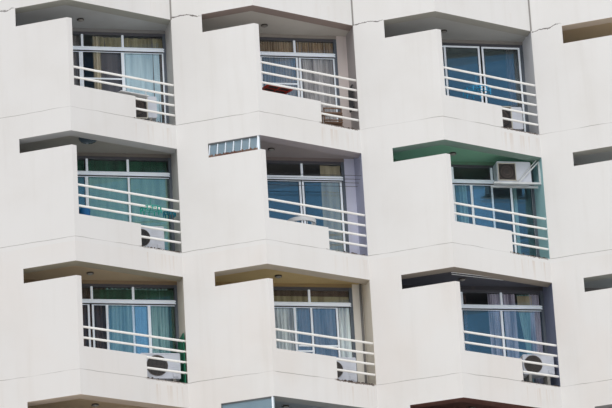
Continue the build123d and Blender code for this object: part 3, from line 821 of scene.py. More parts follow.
def add_sash(bm, left, right, bottom, top, front, bar=SASH_BAR, thick=0.012, material_index=0):
    """One sash: a square inset to a ring, and the ring extruded to its depth."""
    flat = bmesh.ops.create_grid(bm, x_segments=1, y_segments=1, size=0.5)["verts"]
    stand = Matrix.Rotation(math.pi / 2, 4, "X")
    move = Matrix.Translation(((left + right) / 2, front, (bottom + top) / 2))
    grow = Matrix.Diagonal((right - left, top - bottom, 1.0, 1.0))
    bmesh.ops.transform(bm, verts=flat, matrix=move @ stand @ grow)
    face = flat[0].link_faces[0]
    ring = bmesh.ops.inset_individual(bm, faces=[face], thickness=bar)["faces"]
    bmesh.ops.delete(bm, geom=[face], context="FACES")
    for part in ring:
        part.material_index = material_index
    grown = bmesh.ops.extrude_face_region(bm, geom=ring)["geom"]
    moved = [item for item in grown if isinstance(item, bmesh.types.BMVert)]
    bmesh.ops.translate(bm, verts=moved, vec=(0.0, thick, 0.0))


def add_pane(bm, low, high, kind):
    """One pane, in the glass of the given kind."""
    old = set(bm.faces)
    add_box(bm, low, high)
    paint_new(bm, kind, old)


sashes_bm = bmesh.new()
for rear in (False, True):
    panes_bm = bmesh.new()
    for storey, bay, _ in [one for one in all_cells if one[2] == rear]:
        matrix = cell(storey, bay, rear)
        old_sashes, old_panes = set(sashes_bm.verts), set(panes_bm.verts)
        tall = (storey, bay) in NO_TRANSOM
        bottom = FLOOR_Z + FRAME_BAR - 0.005
        top = HEAD_Z - FRAME_BAR + 0.005 if tall else TRANSOM_Z - 0.025
        sashes = shut_sashes(bay) if rear else seen_sashes.get((storey, bay), shut_sashes(bay))
        for left, right, track, kind in sashes:
            front = WINDOW_Y + 0.004 + track * TRACK_STEP
            add_sash(sashes_bm, left, right, bottom, top, front)
            seal = SASH_BAR - 0.001
            edges = (left + seal, right - seal, bottom + seal, top - seal)
            add_sash(sashes_bm, *edges, front + 0.003, 0.007, 0.006, 1)
            inner = SASH_BAR - 0.008
            low = (left + inner, front + 0.004, bottom + inner)
            add_pane(panes_bm, low, (right - inner, front + 0.009, top - inner), kind)
        if not rear:
            for left, right, level in mid_rails.get((storey, bay), []):
                low = (left, WINDOW_Y + 0.001, level - MID_RAIL_HALF)
                add_box(sashes_bm, low, (right, WINDOW_Y + 0.012, level + MID_RAIL_HALF), 0.003)
        if not tall:
            left, right = window_span(bay)
            low = (left, WINDOW_Y + 0.03, TRANSOM_Z + FRAME_BAR)
            add_pane(panes_bm, low, (right, WINDOW_Y + 0.035, HEAD_Z - FRAME_BAR), 2)
        place_new(sashes_bm, matrix, old_sashes)
        place_new(panes_bm, matrix, old_panes)
    half = "rear" if rear else "front"
    panes = to_piece(to_mesh(panes_bm, f"{half}_sash_panes"), GLASS_KINDS)
    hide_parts(f"{half}_window_glass")
to_piece(to_mesh(sashes_bm, "sash_frames"), [white_frame, seal_rubber])

# %% [markdown]
# The fixed frame is made of drawn aluminium sections, which show as fine steps. A few thin
# strips on the transom, the sill and the mullions give those steps. A dark seal under the
# transom closes the gap that the sashes slide in.

# %% Mullions and strips
MULLION_HALF = 0.024
bm, seals = bmesh.new(), bmesh.new()
for storey, bay, rear in all_cells:
    left, right = window_span(bay)
    before, old_seals = set(bm.verts), set(seals.verts)
    if (storey, bay) not in NO_TRANSOM or rear:
        for quarter in (1, 2, 3):
            middle = left + (right - left) * quarter / 4
            low = (middle - MULLION_HALF, WINDOW_Y - 0.006, TRANSOM_Z + 0.055)
            add_box(bm, low, (middle + MULLION_HALF, WINDOW_Y + 0.028, HEAD_Z - 0.055), 0.003)
        for low_z, high_z, proud in ((-0.03, -0.004, 0.014), (0.012, 0.05, 0.01)):
            low = (left - 0.02, WINDOW_Y - proud, TRANSOM_Z + low_z)
            add_box(bm, low, (right + 0.02, WINDOW_Y + 0.003, TRANSOM_Z + high_z), 0.004)
        low = (left, WINDOW_Y - 0.008, TRANSOM_Z - 0.055)
        add_box(seals, low, (right, WINDOW_Y + 0.002, TRANSOM_Z - 0.031))
    low = (left - 0.02, WINDOW_Y - 0.012, FLOOR_Z + 0.012)
    add_box(bm, low, (right + 0.02, WINDOW_Y + 0.002, FLOOR_Z + 0.045), 0.004)
    place_new(bm, cell(storey, bay, rear), before)
    place_new(seals, cell(storey, bay, rear), old_seals)
to_piece(to_mesh(bm, "window_trim"), [white_frame])
to_piece(to_mesh(seals, "window_seals"), [seal_rubber])

# %% [markdown]
# ## Curtains
# Each window has curtains behind the glass, in cloths of its owner's choice. A curtain is one
# sheet of cloth, gathered into upright pleats: a fine grid is stood upright and its columns are
# pushed back and forth by a wave that grows towards the hem. The wave's length changes along
# the rail, because real pleats are never even. Some windows have a second, shorter cloth for
# their upper lights or before the first. One curtain is tied back, so its lower rows are drawn
# together towards one side. The sheet is declared with the width that the cloth was cut to,
# which is measured from its area.

# %% Curtain cloths
def curtain_cloth(name, colour, shadow):
    """A woven cloth, with painted shade in upright streaks for its folds, and a soft sheen."""
    material, tree, shader = new_material(name)
    place = put(tree, "ShaderNodeTexCoord").outputs["Object"]
    weave = {"Vector": place, "Scale": 150.0, "Distortion": 0.6}
    threads = put(tree, "ShaderNodeTexWave", weave, bands_direction="Z").outputs["Fac"]
    mottled = noise(tree, squeezed(tree, place, (9.0, 9.0, 0.6)), 1.0, 3.0)
    # Upright streaks of the shadow colour: painted shade in the folds.
    fold_painted_shade = blend(tree, ramp_between(tree, mottled, 0.35, 0.7), colour, shadow)
    woven = blend(tree, product(tree, threads, 0.12), fold_painted_shade, shadow)
    tree.links.new(woven, shader.inputs["Base Color"])
    weave_bump = put(tree, "ShaderNodeBump", {"Height": threads, "Strength": 0.15, "Distance": 0.001})
    tree.links.new(weave_bump.outputs[0], shader.inputs["Normal"])
    shader.inputs["Roughness"].default_value = 0.85
    shader.inputs["Sheen Weight"].default_value = 0.2
    return material


cloth_colours = {  # the cloth, and the shadow in its folds
    "olive": ((170, 164, 130), (118, 110, 82)),
    "cream": ((214, 204, 176), (150, 138, 112)),
    "tan": ((196, 172, 142), (134, 112, 86)),
    "taupe": ((128, 122, 120), (92, 84, 80)),
    "smoke": ((106, 102, 104), (88, 84, 86)),
    "sheer": ((220, 246, 255), (186, 214, 226)),
    "grey": ((214, 212, 212), (150, 148, 150)),
    "lilac": ((214, 210, 228), (132, 126, 146)),
    "green": ((152, 192, 160), (124, 164, 134)),
    "pine": ((40, 92, 70), (24, 62, 48)),
    "teal": ((166, 204, 202), (92, 136, 136)),
    "pale": ((244, 255, 255), (170, 182, 194)),
    "dusk": ((150, 146, 154), (108, 104, 112)),
    "beige": ((196, 188, 156), (160, 150, 122)),
    "brown": ((92, 74, 68), (52, 40, 38)),
}
cloths = {
    name: curtain_cloth(f"{name}_cloth", shade(*colour), shade(*shadow))
    for name, (colour, shadow) in cloth_colours.items()
}
cloth_names = list(cloths)
print("cloths:", cloth_names)

# %% Which curtains hang where
CURTAIN_TOP = 2.31
CURTAIN_BOTTOM = -0.015
CURTAIN_ENDS = (CURTAIN_BOTTOM, CURTAIN_TOP)
CURTAIN_Y = 0.8  # behind the panes

seen_curtains = {  # cloth, left, right, width of a pleat, and how deep the pleats are
    (5, 1): [("taupe", 0.5, 2.14, 0.1, 1.0), ("cream", 2.42, 2.6, 0.055, 1.0),
             ("smoke", 2.59, 3.08, 0.4, 0.3), ("taupe", 3.7, 3.93, 0.08, 1.0)],
    (5, 2): [("tan", 0.25, 2.9, 0.06, 1.0), ("grey", 2.92, 3.71, 0.085, 1.3)],
    (5, 3): [("brown", 0.5, 1.7, 0.12, 1.0), ("brown", 3.62, 3.92, 0.1, 1.0)],
    (4, 1): [("pine", 0.45, 2.14, 0.4, 0.15), ("green", 2.2, 3.07, 1.2, 0.12),
             ("green", 3.1, 3.91, 1.2, 0.12)],
    (4, 2): [("brown", 0.3, 1.5, 0.12, 1.0), ("beige", 3.27, 3.71, 0.3, 0.25)],
    (4, 3): [],
    (3, 1): [("brown", 0.5, 2.47, 0.12, 1.0), ("teal", 2.5, 3.82, 0.085, 1.3),
             ("pine", 3.8, 3.93, 0.08, 0.8)],
    (3, 2): [("pale", 0.25, 2.58, 0.085, 1.0), ("dusk", 2.6, 3.46, 0.09, 0.9),
             ("pale", 3.48, 3.71, 0.075, 1.0)],
    (3, 3): [("brown", 1.2, 2.3, 0.14, 1.0), ("lilac", 2.78, 3.06, 0.06, 0.9),
             ("lilac", 3.12, 3.4, 0.07, 0.9), ("lilac", 3.7, 3.92, 0.06, 0.9)],
}
usual_curtains = [
    [("beige", 0.45, 3.7, 0.11, 1.0)],
    [("grey", 0.45, 1.9, 0.1, 1.0), ("grey", 2.4, 3.7, 0.1, 1.0)],
    [("olive", 0.45, 2.2, 0.12, 1.0)],
    [("sheer", 0.45, 3.7, 0.09, 1.0)],
    [("green", 0.45, 1.4, 0.1, 1.0), ("green", 2.9, 3.7, 0.1, 1.0)],
    [("tan", 0.45, 3.7, 0.08, 1.0)],
    [("teal", 1.2, 3.7, 0.11, 1.0)],
]
short_curtains = {  # the same, then bottom, top and distance behind the first row
    (5, 1): [("sheer", 3.06, 3.86, 0.16, 0.35, -0.01, 1.93, -0.03),
             ("olive", 2.58, 3.93, 0.15, 0.9, 1.96, 2.28, -0.03)],
    (5, 2): [("tan", 2.88, 3.71, 0.06, 1.0, 1.96, 2.3, -0.04)],
    (4, 1): [("pine", 2.2, 3.91, 0.9, 0.05, 1.96, 2.3, -0.03)],
    (4, 3): [("teal", 2.2, 2.5, 0.09, 1.0, -0.015, 1.94, 0.0),
             ("teal", 3.48, 3.62, 0.09, 0.8, -0.015, 1.94, 0.0)],
    (3, 1): [("pine", 2.2, 3.93, 1.4, 0.08, 1.97, 2.27, -0.035)],
    (3, 2): [("olive", 0.3, 3.71, 0.5, 0.1, 1.97, 2.2, -0.035),
             ("brown", 0.3, 3.71, 0.5, 0.05, 2.18, 2.32, -0.045)],
    (3, 3): [("beige", 3.44, 3.76, 0.5, 0.2, 1.9, 2.27, -0.01)],
}
tied_curtains = {(3, 3): [("teal", 3.44, 3.72, 0.07, 0.9)]}
print("curtains drawn from the photograph:", sum(len(panels) for panels in seen_curtains.values()))

# %% Hang the curtains
def add_curtain(bm, matrix, panel, bottom, top, depth, luck, tied=False):
    """One pleated curtain, its lower half drawn to the right where it is tied back."""
    cloth, left, right, pitch, fullness = panel
    columns = max(8, round((right - left) / pitch * 6))
    made = bmesh.ops.create_grid(bm, x_segments=columns, y_segments=8 if tied else 4, size=0.5)["verts"]
    phase = luck.uniform(0.0, 6.28)
    for vert in made:
        along, rise = vert.co.x + 0.5, vert.co.y + 0.5
        turns = 2 * math.pi * along * (right - left) / pitch
        wave = math.sin(turns + 0.9 * math.sin(turns / 5.3 + phase) + phase)
        swing = fullness * (0.022 + 0.012 * (1.0 - rise) + 0.005 * math.sin(turns / 3.1))
        x = left + along * (right - left) + fullness * 0.012 * (1.0 - rise) * math.sin(turns / 2.0 + phase)
        if tied:
            gather = 0.62 * math.exp(-((rise - 0.45) / 0.28) ** 2) + 0.3 * (rise < 0.45)
            x += (right - 0.08 - x) * min(gather, 0.75)
        vert.co = (x, depth + swing * wave, bottom + rise * (top - bottom))
    for face in {face for vert in made for face in vert.link_faces}:
        face.material_index = cloth_names.index(cloth)
        face.smooth = True
    bmesh.ops.transform(bm, verts=made, matrix=matrix)


luck = random.Random(7)
for rear in (False, True):
    half = "rear" if rear else "front"
    for storey in range(1, STOREYS + 1):
        bm = bmesh.new()
        for bay in range(1, BAYS + 1):
            matrix = cell(storey, bay, rear)
            panels = usual_curtains[(storey * 3 + bay * 2 + 4 * rear) % len(usual_curtains)]
            if not rear:
                panels = seen_curtains.get((storey, bay), panels)
                for *panel, bottom, top, shift in short_curtains.get((storey, bay), []):
                    add_curtain(bm, matrix, panel, bottom, top, CURTAIN_Y + shift, luck)
                for panel in tied_curtains.get((storey, bay), []):
                    add_curtain(bm, matrix, panel, *CURTAIN_ENDS, CURTAIN_Y + 0.02, luck, tied=True)
            for panel in panels:
                add_curtain(bm, matrix, panel, *CURTAIN_ENDS, CURTAIN_Y, luck)
        area = sum(face.calc_area() for face in bm.faces)
        mesh = bpy.data.meshes.new(f"{half}_curtains_{storey}")
        bm.to_mesh(mesh)
        bm.free()
        piece = to_piece(mesh, list(cloths.values()))
        drop = CURTAIN_TOP - CURTAIN_BOTTOM

# %% [markdown]
# ## Air conditioners
# The casings stand on the balcony floors. A casing's left part carries the fan behind a round
# guard of wire rings and spokes. The hollow behind the guard is a flat disc with three blades
# before it, painted dark as the shade inside the hollow. A ring is a small circle of wire that is
# spun about the fan's axis, which closes on itself when the last step is merged with the first.

# %% Where the casings stand
NO_COOLER = {(5, 2), (4, 2), (4, 3)}
COOLER_FRONT = 0.1
seen_coolers = {  # left end, underside, width, height; then the fan's kind, place and half width
    (5, 1): ((2.87, 0.2, 0.76, 0.48), ("square", 0.29, 0.24, 0.27)),
    (5, 3): ((2.9, 0.15, 0.78, 0.51), ("square", 0.28, 0.255, 0.26)),
    (4, 1): ((2.88, 0.09, 0.78, 0.52), ("round", 0.29, 0.26, 0.19)),
    (3, 1): ((3.05, 0.13, 0.83, 0.55), ("mesh", 0.34, 0.28, 0.22)),
    (3, 2): ((2.84, 0.1, 0.78, 0.53), ("mesh", 0.3, 0.26, 0.185)),
    (3, 3): ((3.25, 0.3, 0.68, 0.44), ("mesh", 0.22, 0.22, 0.195)),
}
usual_cooler = ((2.9, 0.11, 0.78, 0.53), ("round", 0.28, 0.265, 0.2))
hung_casing = ((3.04, 1.8, 0.76, 0.48), ("square", 0.22, 0.24, 0.2))
HUNG_COOLER = (4, 3)
HUNG_FRONT = 0.2
UNIT_RADIUS = 0.23
UNIT_WIDTH, UNIT_HEIGHT = 0.8, 0.53
print("casings drawn from the photograph:", len(seen_coolers) + 1)

# %% Fan guard, drawn once and copied
def add_ring(bm, radius, wire, steps=28, sides=5, y=0.0):
    """A ring of round wire about the Y axis."""
    matrix = Matrix.Translation((radius, y, 0.0))
    section = bmesh.ops.create_circle(bm, segments=sides, radius=wire, matrix=matrix)["verts"]
    edges = list({edge for vert in section for edge in vert.link_edges})
    bmesh.ops.spin(bm, geom=section + edges, axis=(0, 1, 0), cent=(0, 0, 0), angle=2 * math.pi,
                   steps=steps, use_merge=True)


def add_disc(bm, radius, y, material_index, segments=28):
    """A flat round plate that stands upright and faces forwards."""
    matrix = Matrix.Translation((0.0, y, 0.0)) @ Matrix.Rotation(math.pi / 2, 4, "X")
    made = bmesh.ops.create_circle(bm, cap_ends=True, segments=segments, radius=radius, matrix=matrix)
    made["verts"][0].link_faces[0].material_index = material_index


HOLLOW_RADIUS = 0.224
RIM_RADIUS = 0.229
BLADES = 3
SPOKES = 6
bm = bmesh.new()
# The disc and the blades are painted dark: painted shade for the hollow behind the guard.
add_disc(bm, HOLLOW_RADIUS, -0.004, 1)
for blade in range(BLADES):
    turn = Matrix.Rotation(2 * math.pi * blade / BLADES + 0.3, 4, "Y")
    add_box(bm, (0.05, -0.012, -0.05), (0.2, -0.008, 0.05), 0.0, turn)
paint_new(bm, 1)
for radius in (0.055, 0.085, 0.115, 0.145, 0.175, 0.203):
    add_ring(bm, radius, 0.0022, 24, 4, -0.02)
add_ring(bm, RIM_RADIUS, 0.008, 28, 6, -0.008)
for spoke in range(SPOKES):
    turn = Matrix.Rotation(math.pi * spoke / SPOKES, 4, "Y")
    add_box(bm, (-0.226, -0.0225, -0.0015), (0.226, -0.0195, 0.0015), 0.0, turn)
add_disc(bm, 0.045, -0.025, 0, 16)
fan_unit = to_mesh(bm, "fan_unit")
print("fan unit faces:", len(fan_unit.polygons))

# %% [markdown]
# The right part of a casing is a separate cover with a seam, a few pressed ribs and a small
# box over the valves. These are thin boxes that stand a few millimetres proud of the casing.

# %% Cover of a casing
bm = bmesh.new()
for bar in range(5):
    add_box(bm, (0.6, -0.004, 0.16 + 0.035 * bar), (0.75, 0.002, 0.172 + 0.035 * bar), 0.002)
add_box(bm, (0.0, -0.003, 0.005), (UNIT_WIDTH, 0.002, 0.012))
add_box(bm, (0.64, -0.02, 0.03), (0.74, 0.002, 0.12), 0.006)
add_box(bm, (0.02, -0.006, UNIT_HEIGHT - 0.03), (UNIT_WIDTH - 0.02, 0.002, UNIT_HEIGHT - 0.022), 0.002)
cover_unit = to_mesh(bm, "cover_unit")
print("cover unit faces:", len(cover_unit.polygons))

# %% [markdown]
# Other makes guard the fan with a close mesh of upright and level wires inside the round
# opening. Each wire is as long as the circle is wide at its place.

# %% Round mesh guard
bm = bmesh.new()
# A dark disc behind the wires: painted shade for the hollow.
add_disc(bm, 0.226, -0.004, 1)
for wire in range(-7, 8):
    at = 0.029 * wire
    reach = math.sqrt(HOLLOW_RADIUS ** 2 - at ** 2)
    add_box(bm, (at - 0.0035, -0.013, -reach), (at + 0.0035, -0.009, reach))
    add_box(bm, (-reach, -0.016, at - 0.0025), (reach, -0.013, at + 0.0025))
add_ring(bm, RIM_RADIUS, 0.008, 28, 6, -0.008)
mesh_unit = to_mesh(bm, "mesh_unit")
print("mesh unit faces:", len(mesh_unit.polygons))

# %% [markdown]
# Three casings are older kinds, with the fan behind a square grille of level bars and rings, in
# a brown that has faded, with a cream rim.

# %% Square grille
GRILLE_BARS = 19
GRILLE_PITCH = 0.023
RIM_HALF = 0.011
bm = bmesh.new()
# A dark plate behind the bars: painted shade for the hollow.
add_box(bm, (-0.23, -0.004, -0.23), (0.23, 0.001, 0.23))
paint_new(bm, 1)
for bar in range(GRILLE_BARS):
    level = GRILLE_PITCH * (bar - (GRILLE_BARS - 1) / 2)
    add_box(bm, (-0.22, -0.014, level - 0.003), (0.22, -0.009, level + 0.003))
for radius in (0.08, 0.145):
    add_ring(bm, radius, 0.004, 24, 4, -0.008)
before = set(bm.faces)
for side in (-1, 1):
    at = 0.222 * side
    add_box(bm, (at - RIM_HALF, -0.018, -0.23), (at + RIM_HALF, -0.003, 0.23), 0.003)
    add_box(bm, (-0.23, -0.018, at - RIM_HALF), (0.23, -0.003, at + RIM_HALF), 0.003)
paint_new(bm, 2, before)
before = set(bm.faces)
add_ring(bm, 0.19, 0.012, 28, 6, -0.015)
paint_new(bm, 1, before)
square_unit = to_mesh(bm, "square_unit")
print("square unit faces:", len(square_unit.polygons))

# %% Place the fans and covers
# A dark finish, which is painted shade for the fans' hollows and the tray, and the colour of other dark
# parts.
dark_and_painted_shade = coated("dark_and_painted_shade", shade(50, 46, 46), shade(78, 70, 62), 0.4, 0.5)
guard_metal = coated("guard_metal", shade(104, 96, 90), shade(74, 64, 56), 0.4, 0.4)
brown_grille = coated("brown_grille", shade(112, 98, 90), shade(80, 68, 62), 0.4, 0.5)
cream_rim = coated("cream_rim", shade(206, 202, 190), shade(150, 142, 130), 0.4, 0.4)
guard_units = {"round": fan_unit, "mesh": mesh_unit, "square": square_unit}
guards, covers, grilles = bmesh.new(), bmesh.new(), bmesh.new()
for storey, bay, rear in all_cells:
    spots = []
    if (storey, bay) not in NO_COOLER:
        spots.append((seen_coolers.get((storey, bay), usual_cooler), COOLER_FRONT))
    if (storey, bay) == HUNG_COOLER:
        spots.append((hung_casing, HUNG_FRONT))
    for ((left, underside, width, tall), (kind, fan_x, fan_z, reach)), front in spots:
        corner = cell(storey, bay, rear) @ Matrix.Translation((left, front, underside))
        grow = Matrix.Diagonal((reach / UNIT_RADIUS, 1.0, reach / UNIT_RADIUS, 1.0))
        guard = grilles if kind == "square" else guards
        add_copy(guard, guard_units[kind], corner @ Matrix.Translation((fan_x, 0.0, fan_z)) @ grow)
        stretch = Matrix.Diagonal((width / UNIT_WIDTH, 1.0, tall / UNIT_HEIGHT, 1.0))
        if kind != "square":
            add_copy(covers, cover_unit, corner @ stretch)
to_piece(to_mesh(guards, "fan_guards"), [guard_metal, dark_and_painted_shade])
to_piece(to_mesh(covers, "cooler_covers"), [cooler_paint])
to_piece(to_mesh(grilles, "square_grilles"), [brown_grille, dark_and_painted_shade, cream_rim])

# %% [markdown]
# ## Ceiling lamps
# The lamps are shallow glass domes in a dark ring, and one is a wide bowl of smoky glass. Each
# is a turned shape: its outline is a short chain of points from the ring to the pole, and
# spinning it about the upright axis closes it. The pole is a single point, so the doubles that
# the spin leaves there are merged.

# %% Lamps
lamp_glass = coated("lamp_glass", shade(156, 152, 146), shade(70, 62, 54), 0.5, 0.3, 0.03)
lamp_glass.node_tree.nodes["Principled BSDF"].inputs["Coat Weight"].default_value = 0.5
lamp_ring = coated("lamp_ring", shade(58, 52, 48), shade(92, 84, 74), 0.4, 0.4)
smoky_glass = coated("smoky_glass", shade(66, 78, 90), shade(44, 46, 50), 0.4, 0.15, 0.03)


def turned_lamp(name, outline, ring_below):
    """A closed turned shape. Faces above the given level take the ring's finish."""
    bm = bmesh.new()
    verts = [bm.verts.new((radius, 0.0, level)) for radius, level in outline]
    edges = [bm.edges.new(pair) for pair in zip(verts, verts[1:])]
    bmesh.ops.spin(bm, geom=verts + edges, axis=(0, 0, 1), cent=(0, 0, 0), angle=2 * math.pi,
                   steps=28, use_merge=True)
    bmesh.ops.remove_doubles(bm, verts=bm.verts, dist=0.0001)
    rim = [edge for edge in bm.edges if edge.is_boundary]
    bmesh.ops.contextual_create(bm, geom=rim)
    for face in bm.faces:
        face.material_index = int(face.calc_center_median().z > ring_below)
    return to_mesh(bm, name, smooth=True)


small_outline = [(0.075, 0.0), (0.075, -0.022), (0.069, -0.026), (0.06, -0.026), (0.055, -0.036),
                 (0.036, -0.046), (0.0, -0.05)]
bowl_outline = [(0.2, 0.0), (0.2, -0.02), (0.186, -0.05), (0.15, -0.084), (0.09, -0.104), (0.0, -0.11)]
small_lamp = turned_lamp("small_lamp", small_outline, -0.0265)
bowl_lamp = turned_lamp("bowl_lamp", bowl_outline, 0.0)
BOWL_BALCONY = (4, 1)
small_place = Matrix.Translation((2.08, 0.19, CEILING_Z))
bowl_place = Matrix.Translation((2.08, -0.19, CEILING_Z))
bm = bmesh.new()
for storey, bay, rear in all_cells:
    if (storey, bay) != BOWL_BALCONY:
        add_copy(bm, small_lamp, cell(storey, bay, rear) @ small_place)
for rear in (False, True):
    add_copy(bm, bowl_lamp, cell(*BOWL_BALCONY, rear) @ bowl_place, 2)
dome_mesh = to_mesh(bm, "ceiling_lamp_domes", smooth=True)
lamps = to_piece(dome_mesh, [lamp_glass, lamp_ring, smoky_glass])
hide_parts("ceiling_lamps")

# %% [markdown]
# ## Glazed slots
# Two owners have closed the slot over their screen with glass. One has a row of leaning white
# bars over a strip of rusted sheet, whose ragged edge is a row of small plates of uneven height.
# The frame follows the short leg of the fold, so its bars are drawn along a straight axis first
# and turned into the leg's direction by one matrix.

# %% Frames of the glazed slots
LEG = Matrix.Rotation(-math.atan2(APEX_REACH, APEX_X), 4, "Z")
LEG_LENGTH = math.hypot(APEX_X, APEX_REACH)
SLOT_FOOT, SLOT_HEAD = 2.001, 2.313  # heights of the slot
STRIP_PLATES = 24
leg_start = 0.6 / APEX_X * LEG_LENGTH
frame_end = LEG_LENGTH - 0.04
bm = bmesh.new()
dark_rail = coated("dark_rail", shade(104, 108, 110), shade(70, 64, 60), 0.4, 0.5)
rusty_strip = coated("rusty_strip", shade(104, 66, 50), shade(150, 134, 120), 0.6, 0.8)
for storey, bay, bars in ((4, 2, 7), (2, 2, 0)):
    for rear in (False, True):
        before, old_faces = set(bm.verts), set(bm.faces)
        add_box(bm, (leg_start, 0.006, SLOT_HEAD - 0.023), (frame_end, 0.06, SLOT_HEAD), 0.004)
        paint_new(bm, 1, old_faces)
        for number in range(bars):
            x = leg_start + 0.012 + (LEG_LENGTH - 0.09 - leg_start) * number / (bars - 1)
            middle = Matrix.Translation((x, 0.0, 2.15))
            lean = middle @ Matrix.Rotation(0.12, 4, "Y") @ middle.inverted()
            add_box(bm, (x - 0.007, 0.014, 2.04), (x + 0.007, 0.056, 2.285), 0.003, lean)
        add_box(bm, (frame_end - 0.03, 0.003, SLOT_FOOT), (frame_end, 0.07, SLOT_HEAD), 0.004)
        if not bars:
            add_box(bm, (leg_start, 0.006, SLOT_FOOT), (frame_end, 0.06, SLOT_FOOT + 0.029), 0.004)
        frame_faces = set(bm.faces)
        for number in range(STRIP_PLATES if bars else 0):
            x = leg_start + (frame_end - 0.03 - leg_start) * number / STRIP_PLATES
            rise = 0.04 + 0.022 * math.sin(2.3 * number) * math.sin(0.7 * number)
            add_box(bm, (x, 0.004, 2.0), (x + 0.036, 0.05, 2.012 + rise), 0.004)
        paint_new(bm, 2, frame_faces)
        place_new(bm, cell(storey, bay, rear) @ LEG, before)
to_piece(to_mesh(bm, "slot_frames"), [white_frame, dark_rail, rusty_strip])

# %% [markdown]
# ## Things on the balconies
# A few things stand or hang on the balconies: a red plastic tray on hooks over a rail, a board,
# a shelf, a bucket on a stand, two racks, three round peg hangers for small washing, a white
# garden chair, and the lines and rods that washing is hung on. They are drawn in the balcony's
# own cell, from bars and rings, and placed where the photograph shows them. What follows the
# rails is drawn along the fold's long leg, from its apex, and turned with it.

# %% Plastics
red_plastic = coated("red_plastic", shade(200, 44, 16), shade(130, 34, 20), 0.3, 0.35)
turquoise_plastic = coated("turquoise_plastic", shade(20, 160, 140), shade(20, 110, 100), 0.2, 0.35)
cyan_plastic = coated("cyan_plastic", shade(40, 150, 196), shade(24, 100, 140), 0.2, 0.35)
white_plastic = coated("white_plastic", shade(226, 228, 230), shade(160, 158, 152), 0.2, 0.4)
line_grey = coated("line_grey", shade(70, 70, 72), shade(50, 48, 46), 0.2, 0.6)
teal_plastic = coated("teal_plastic", shade(20, 112, 132), shade(16, 74, 92), 0.2, 0.35)
blue_plastic = coated("blue_plastic", shade(8, 104, 164), shade(10, 60, 110), 0.2, 0.35)
green_board = coated("green_board", shade(8, 104, 72), shade(4, 66, 46), 0.3, 0.6)
crate_brown = coated("crate_brown", shade(132, 104, 84), shade(70, 54, 44), 0.4, 0.7)
RIGHT_LEG = Matrix.Translation((APEX_X, -APEX_REACH, 0.0)) @ Matrix.Rotation(math.atan(RIGHT_SLOPE), 4, "Z")
print("plastics ready")

# %% [markdown]
# The tray hangs inside the rails by two hooks. Its floor is an open grid of bars, and a dark
# sheet on it is painted shade for the inside of the tray.

# %% Red tray inside the rails
bm = bmesh.new()
tray_left, tray_right, tray_front, tray_back, tray_floor = 0.38, 0.96, 0.1, 0.44, 0.69
tray_top = tray_floor + 0.024
edge = 0.03  # half the width of its rim
for share in (0.0, 0.5, 1.0):
    x = tray_left + (tray_right - tray_left) * share
    add_box(bm, (x - 0.016, tray_front, tray_floor), (x + 0.016, tray_back, tray_floor + 0.006))
for share in (0.0, 0.5, 1.0):
    y = tray_front + (tray_back - tray_front) * share
    add_box(bm, (tray_left, y - 0.01, tray_floor - 0.003), (tray_right, y + 0.01, tray_floor + 0.007))
for y in (tray_front, tray_back):
    add_box(bm, (tray_left - edge, y - edge, tray_floor), (tray_right + edge, y + edge, tray_top), 0.003)
for x in (tray_left, tray_right):
    add_box(bm, (x - edge, tray_front, tray_floor - 0.003), (x + edge, tray_back, tray_top), 0.003)
for x in (tray_left + 0.1, tray_right - 0.1):
    add_box(bm, (x - 0.01, 0.045, tray_floor + 0.012), (x + 0.01, tray_front, tray_top))
    add_box(bm, (x - 0.01, 0.045, tray_floor - 0.01), (x + 0.01, 0.052, tray_top))
place_piece(bm, "red_tray", cell(5, 2) @ RIGHT_LEG, red_plastic)

bm = bmesh.new()
# A dark sheet on the tray's floor: painted shade inside the tray.
add_box(bm, (tray_left, tray_front, tray_floor + 0.008), (tray_right, tray_back, tray_floor + 0.014))
place_piece(bm, "tray_painted_shade", cell(5, 2) @ RIGHT_LEG, dark_and_painted_shade)

# %% [markdown]
# A green board stands against a side wall, and a narrow shelf hangs from a rail by two hooks.

# %% Standing board and shelf
bm = bmesh.new()
add_box(bm, (3.945, 0.02, FLOOR_Z), (3.97, 0.62, 1.1), 0.004)
place_piece(bm, "standing_board", cell(3, 1), green_board)

bm = bmesh.new()
add_box(bm, (1.3, 0.08, 0.59), (2.0, 0.26, 0.61), 0.004)
for x in (1.4, 1.9):
    add_box(bm, (x - 0.01, 0.05, 0.61), (x + 0.01, 0.09, 0.616), 0.002)
    add_box(bm, (x - 0.01, 0.05, 0.61), (x + 0.01, 0.056, 0.73), 0.002)
place_piece(bm, "white_shelf", cell(5, 1) @ RIGHT_LEG, white_plastic)

# %% [markdown]
# The bucket is a cone that is wider at its rim. Its top face is inset by the wall's thickness
# and the middle is pushed down, so it is open. It stands on a small table.

# %% Bucket on its stand
bm = bmesh.new()
bmesh.ops.create_cone(bm, cap_ends=True, segments=24, radius1=0.1, radius2=0.13, depth=0.24)
bucket_top = [face for face in bm.faces if face.calc_center_median().z > 0.11 and len(face.verts) > 4]
bmesh.ops.inset_region(bm, faces=bucket_top, thickness=0.008, depth=0.0)
bmesh.ops.translate(bm, verts=bucket_top[0].verts, vec=(0.0, 0.0, -0.2))
stand_top = 0.56
stand = cell(4, 1) @ Matrix.Translation((1.9, -0.3, 0.0))
place_new(bm, stand @ Matrix.Translation((0.02, 0.0, stand_top + 0.12)))
add_box(bm, (-0.25, -0.15, stand_top - 0.02), (0.25, 0.15, stand_top), 0.004, stand)
for x in (-0.2, 0.2):
    for y in (-0.12, 0.12):
        add_box(bm, (x - 0.012, y - 0.012, FLOOR_Z), (x + 0.012, y + 0.012, stand_top - 0.02), 0.0, stand)
to_piece(to_mesh(bm, "blue_bucket"), [blue_plastic])

# %% [markdown]
# One rack stands on the floor, with slats before its two shelves. The other is a grid of bars on
# the side wall.

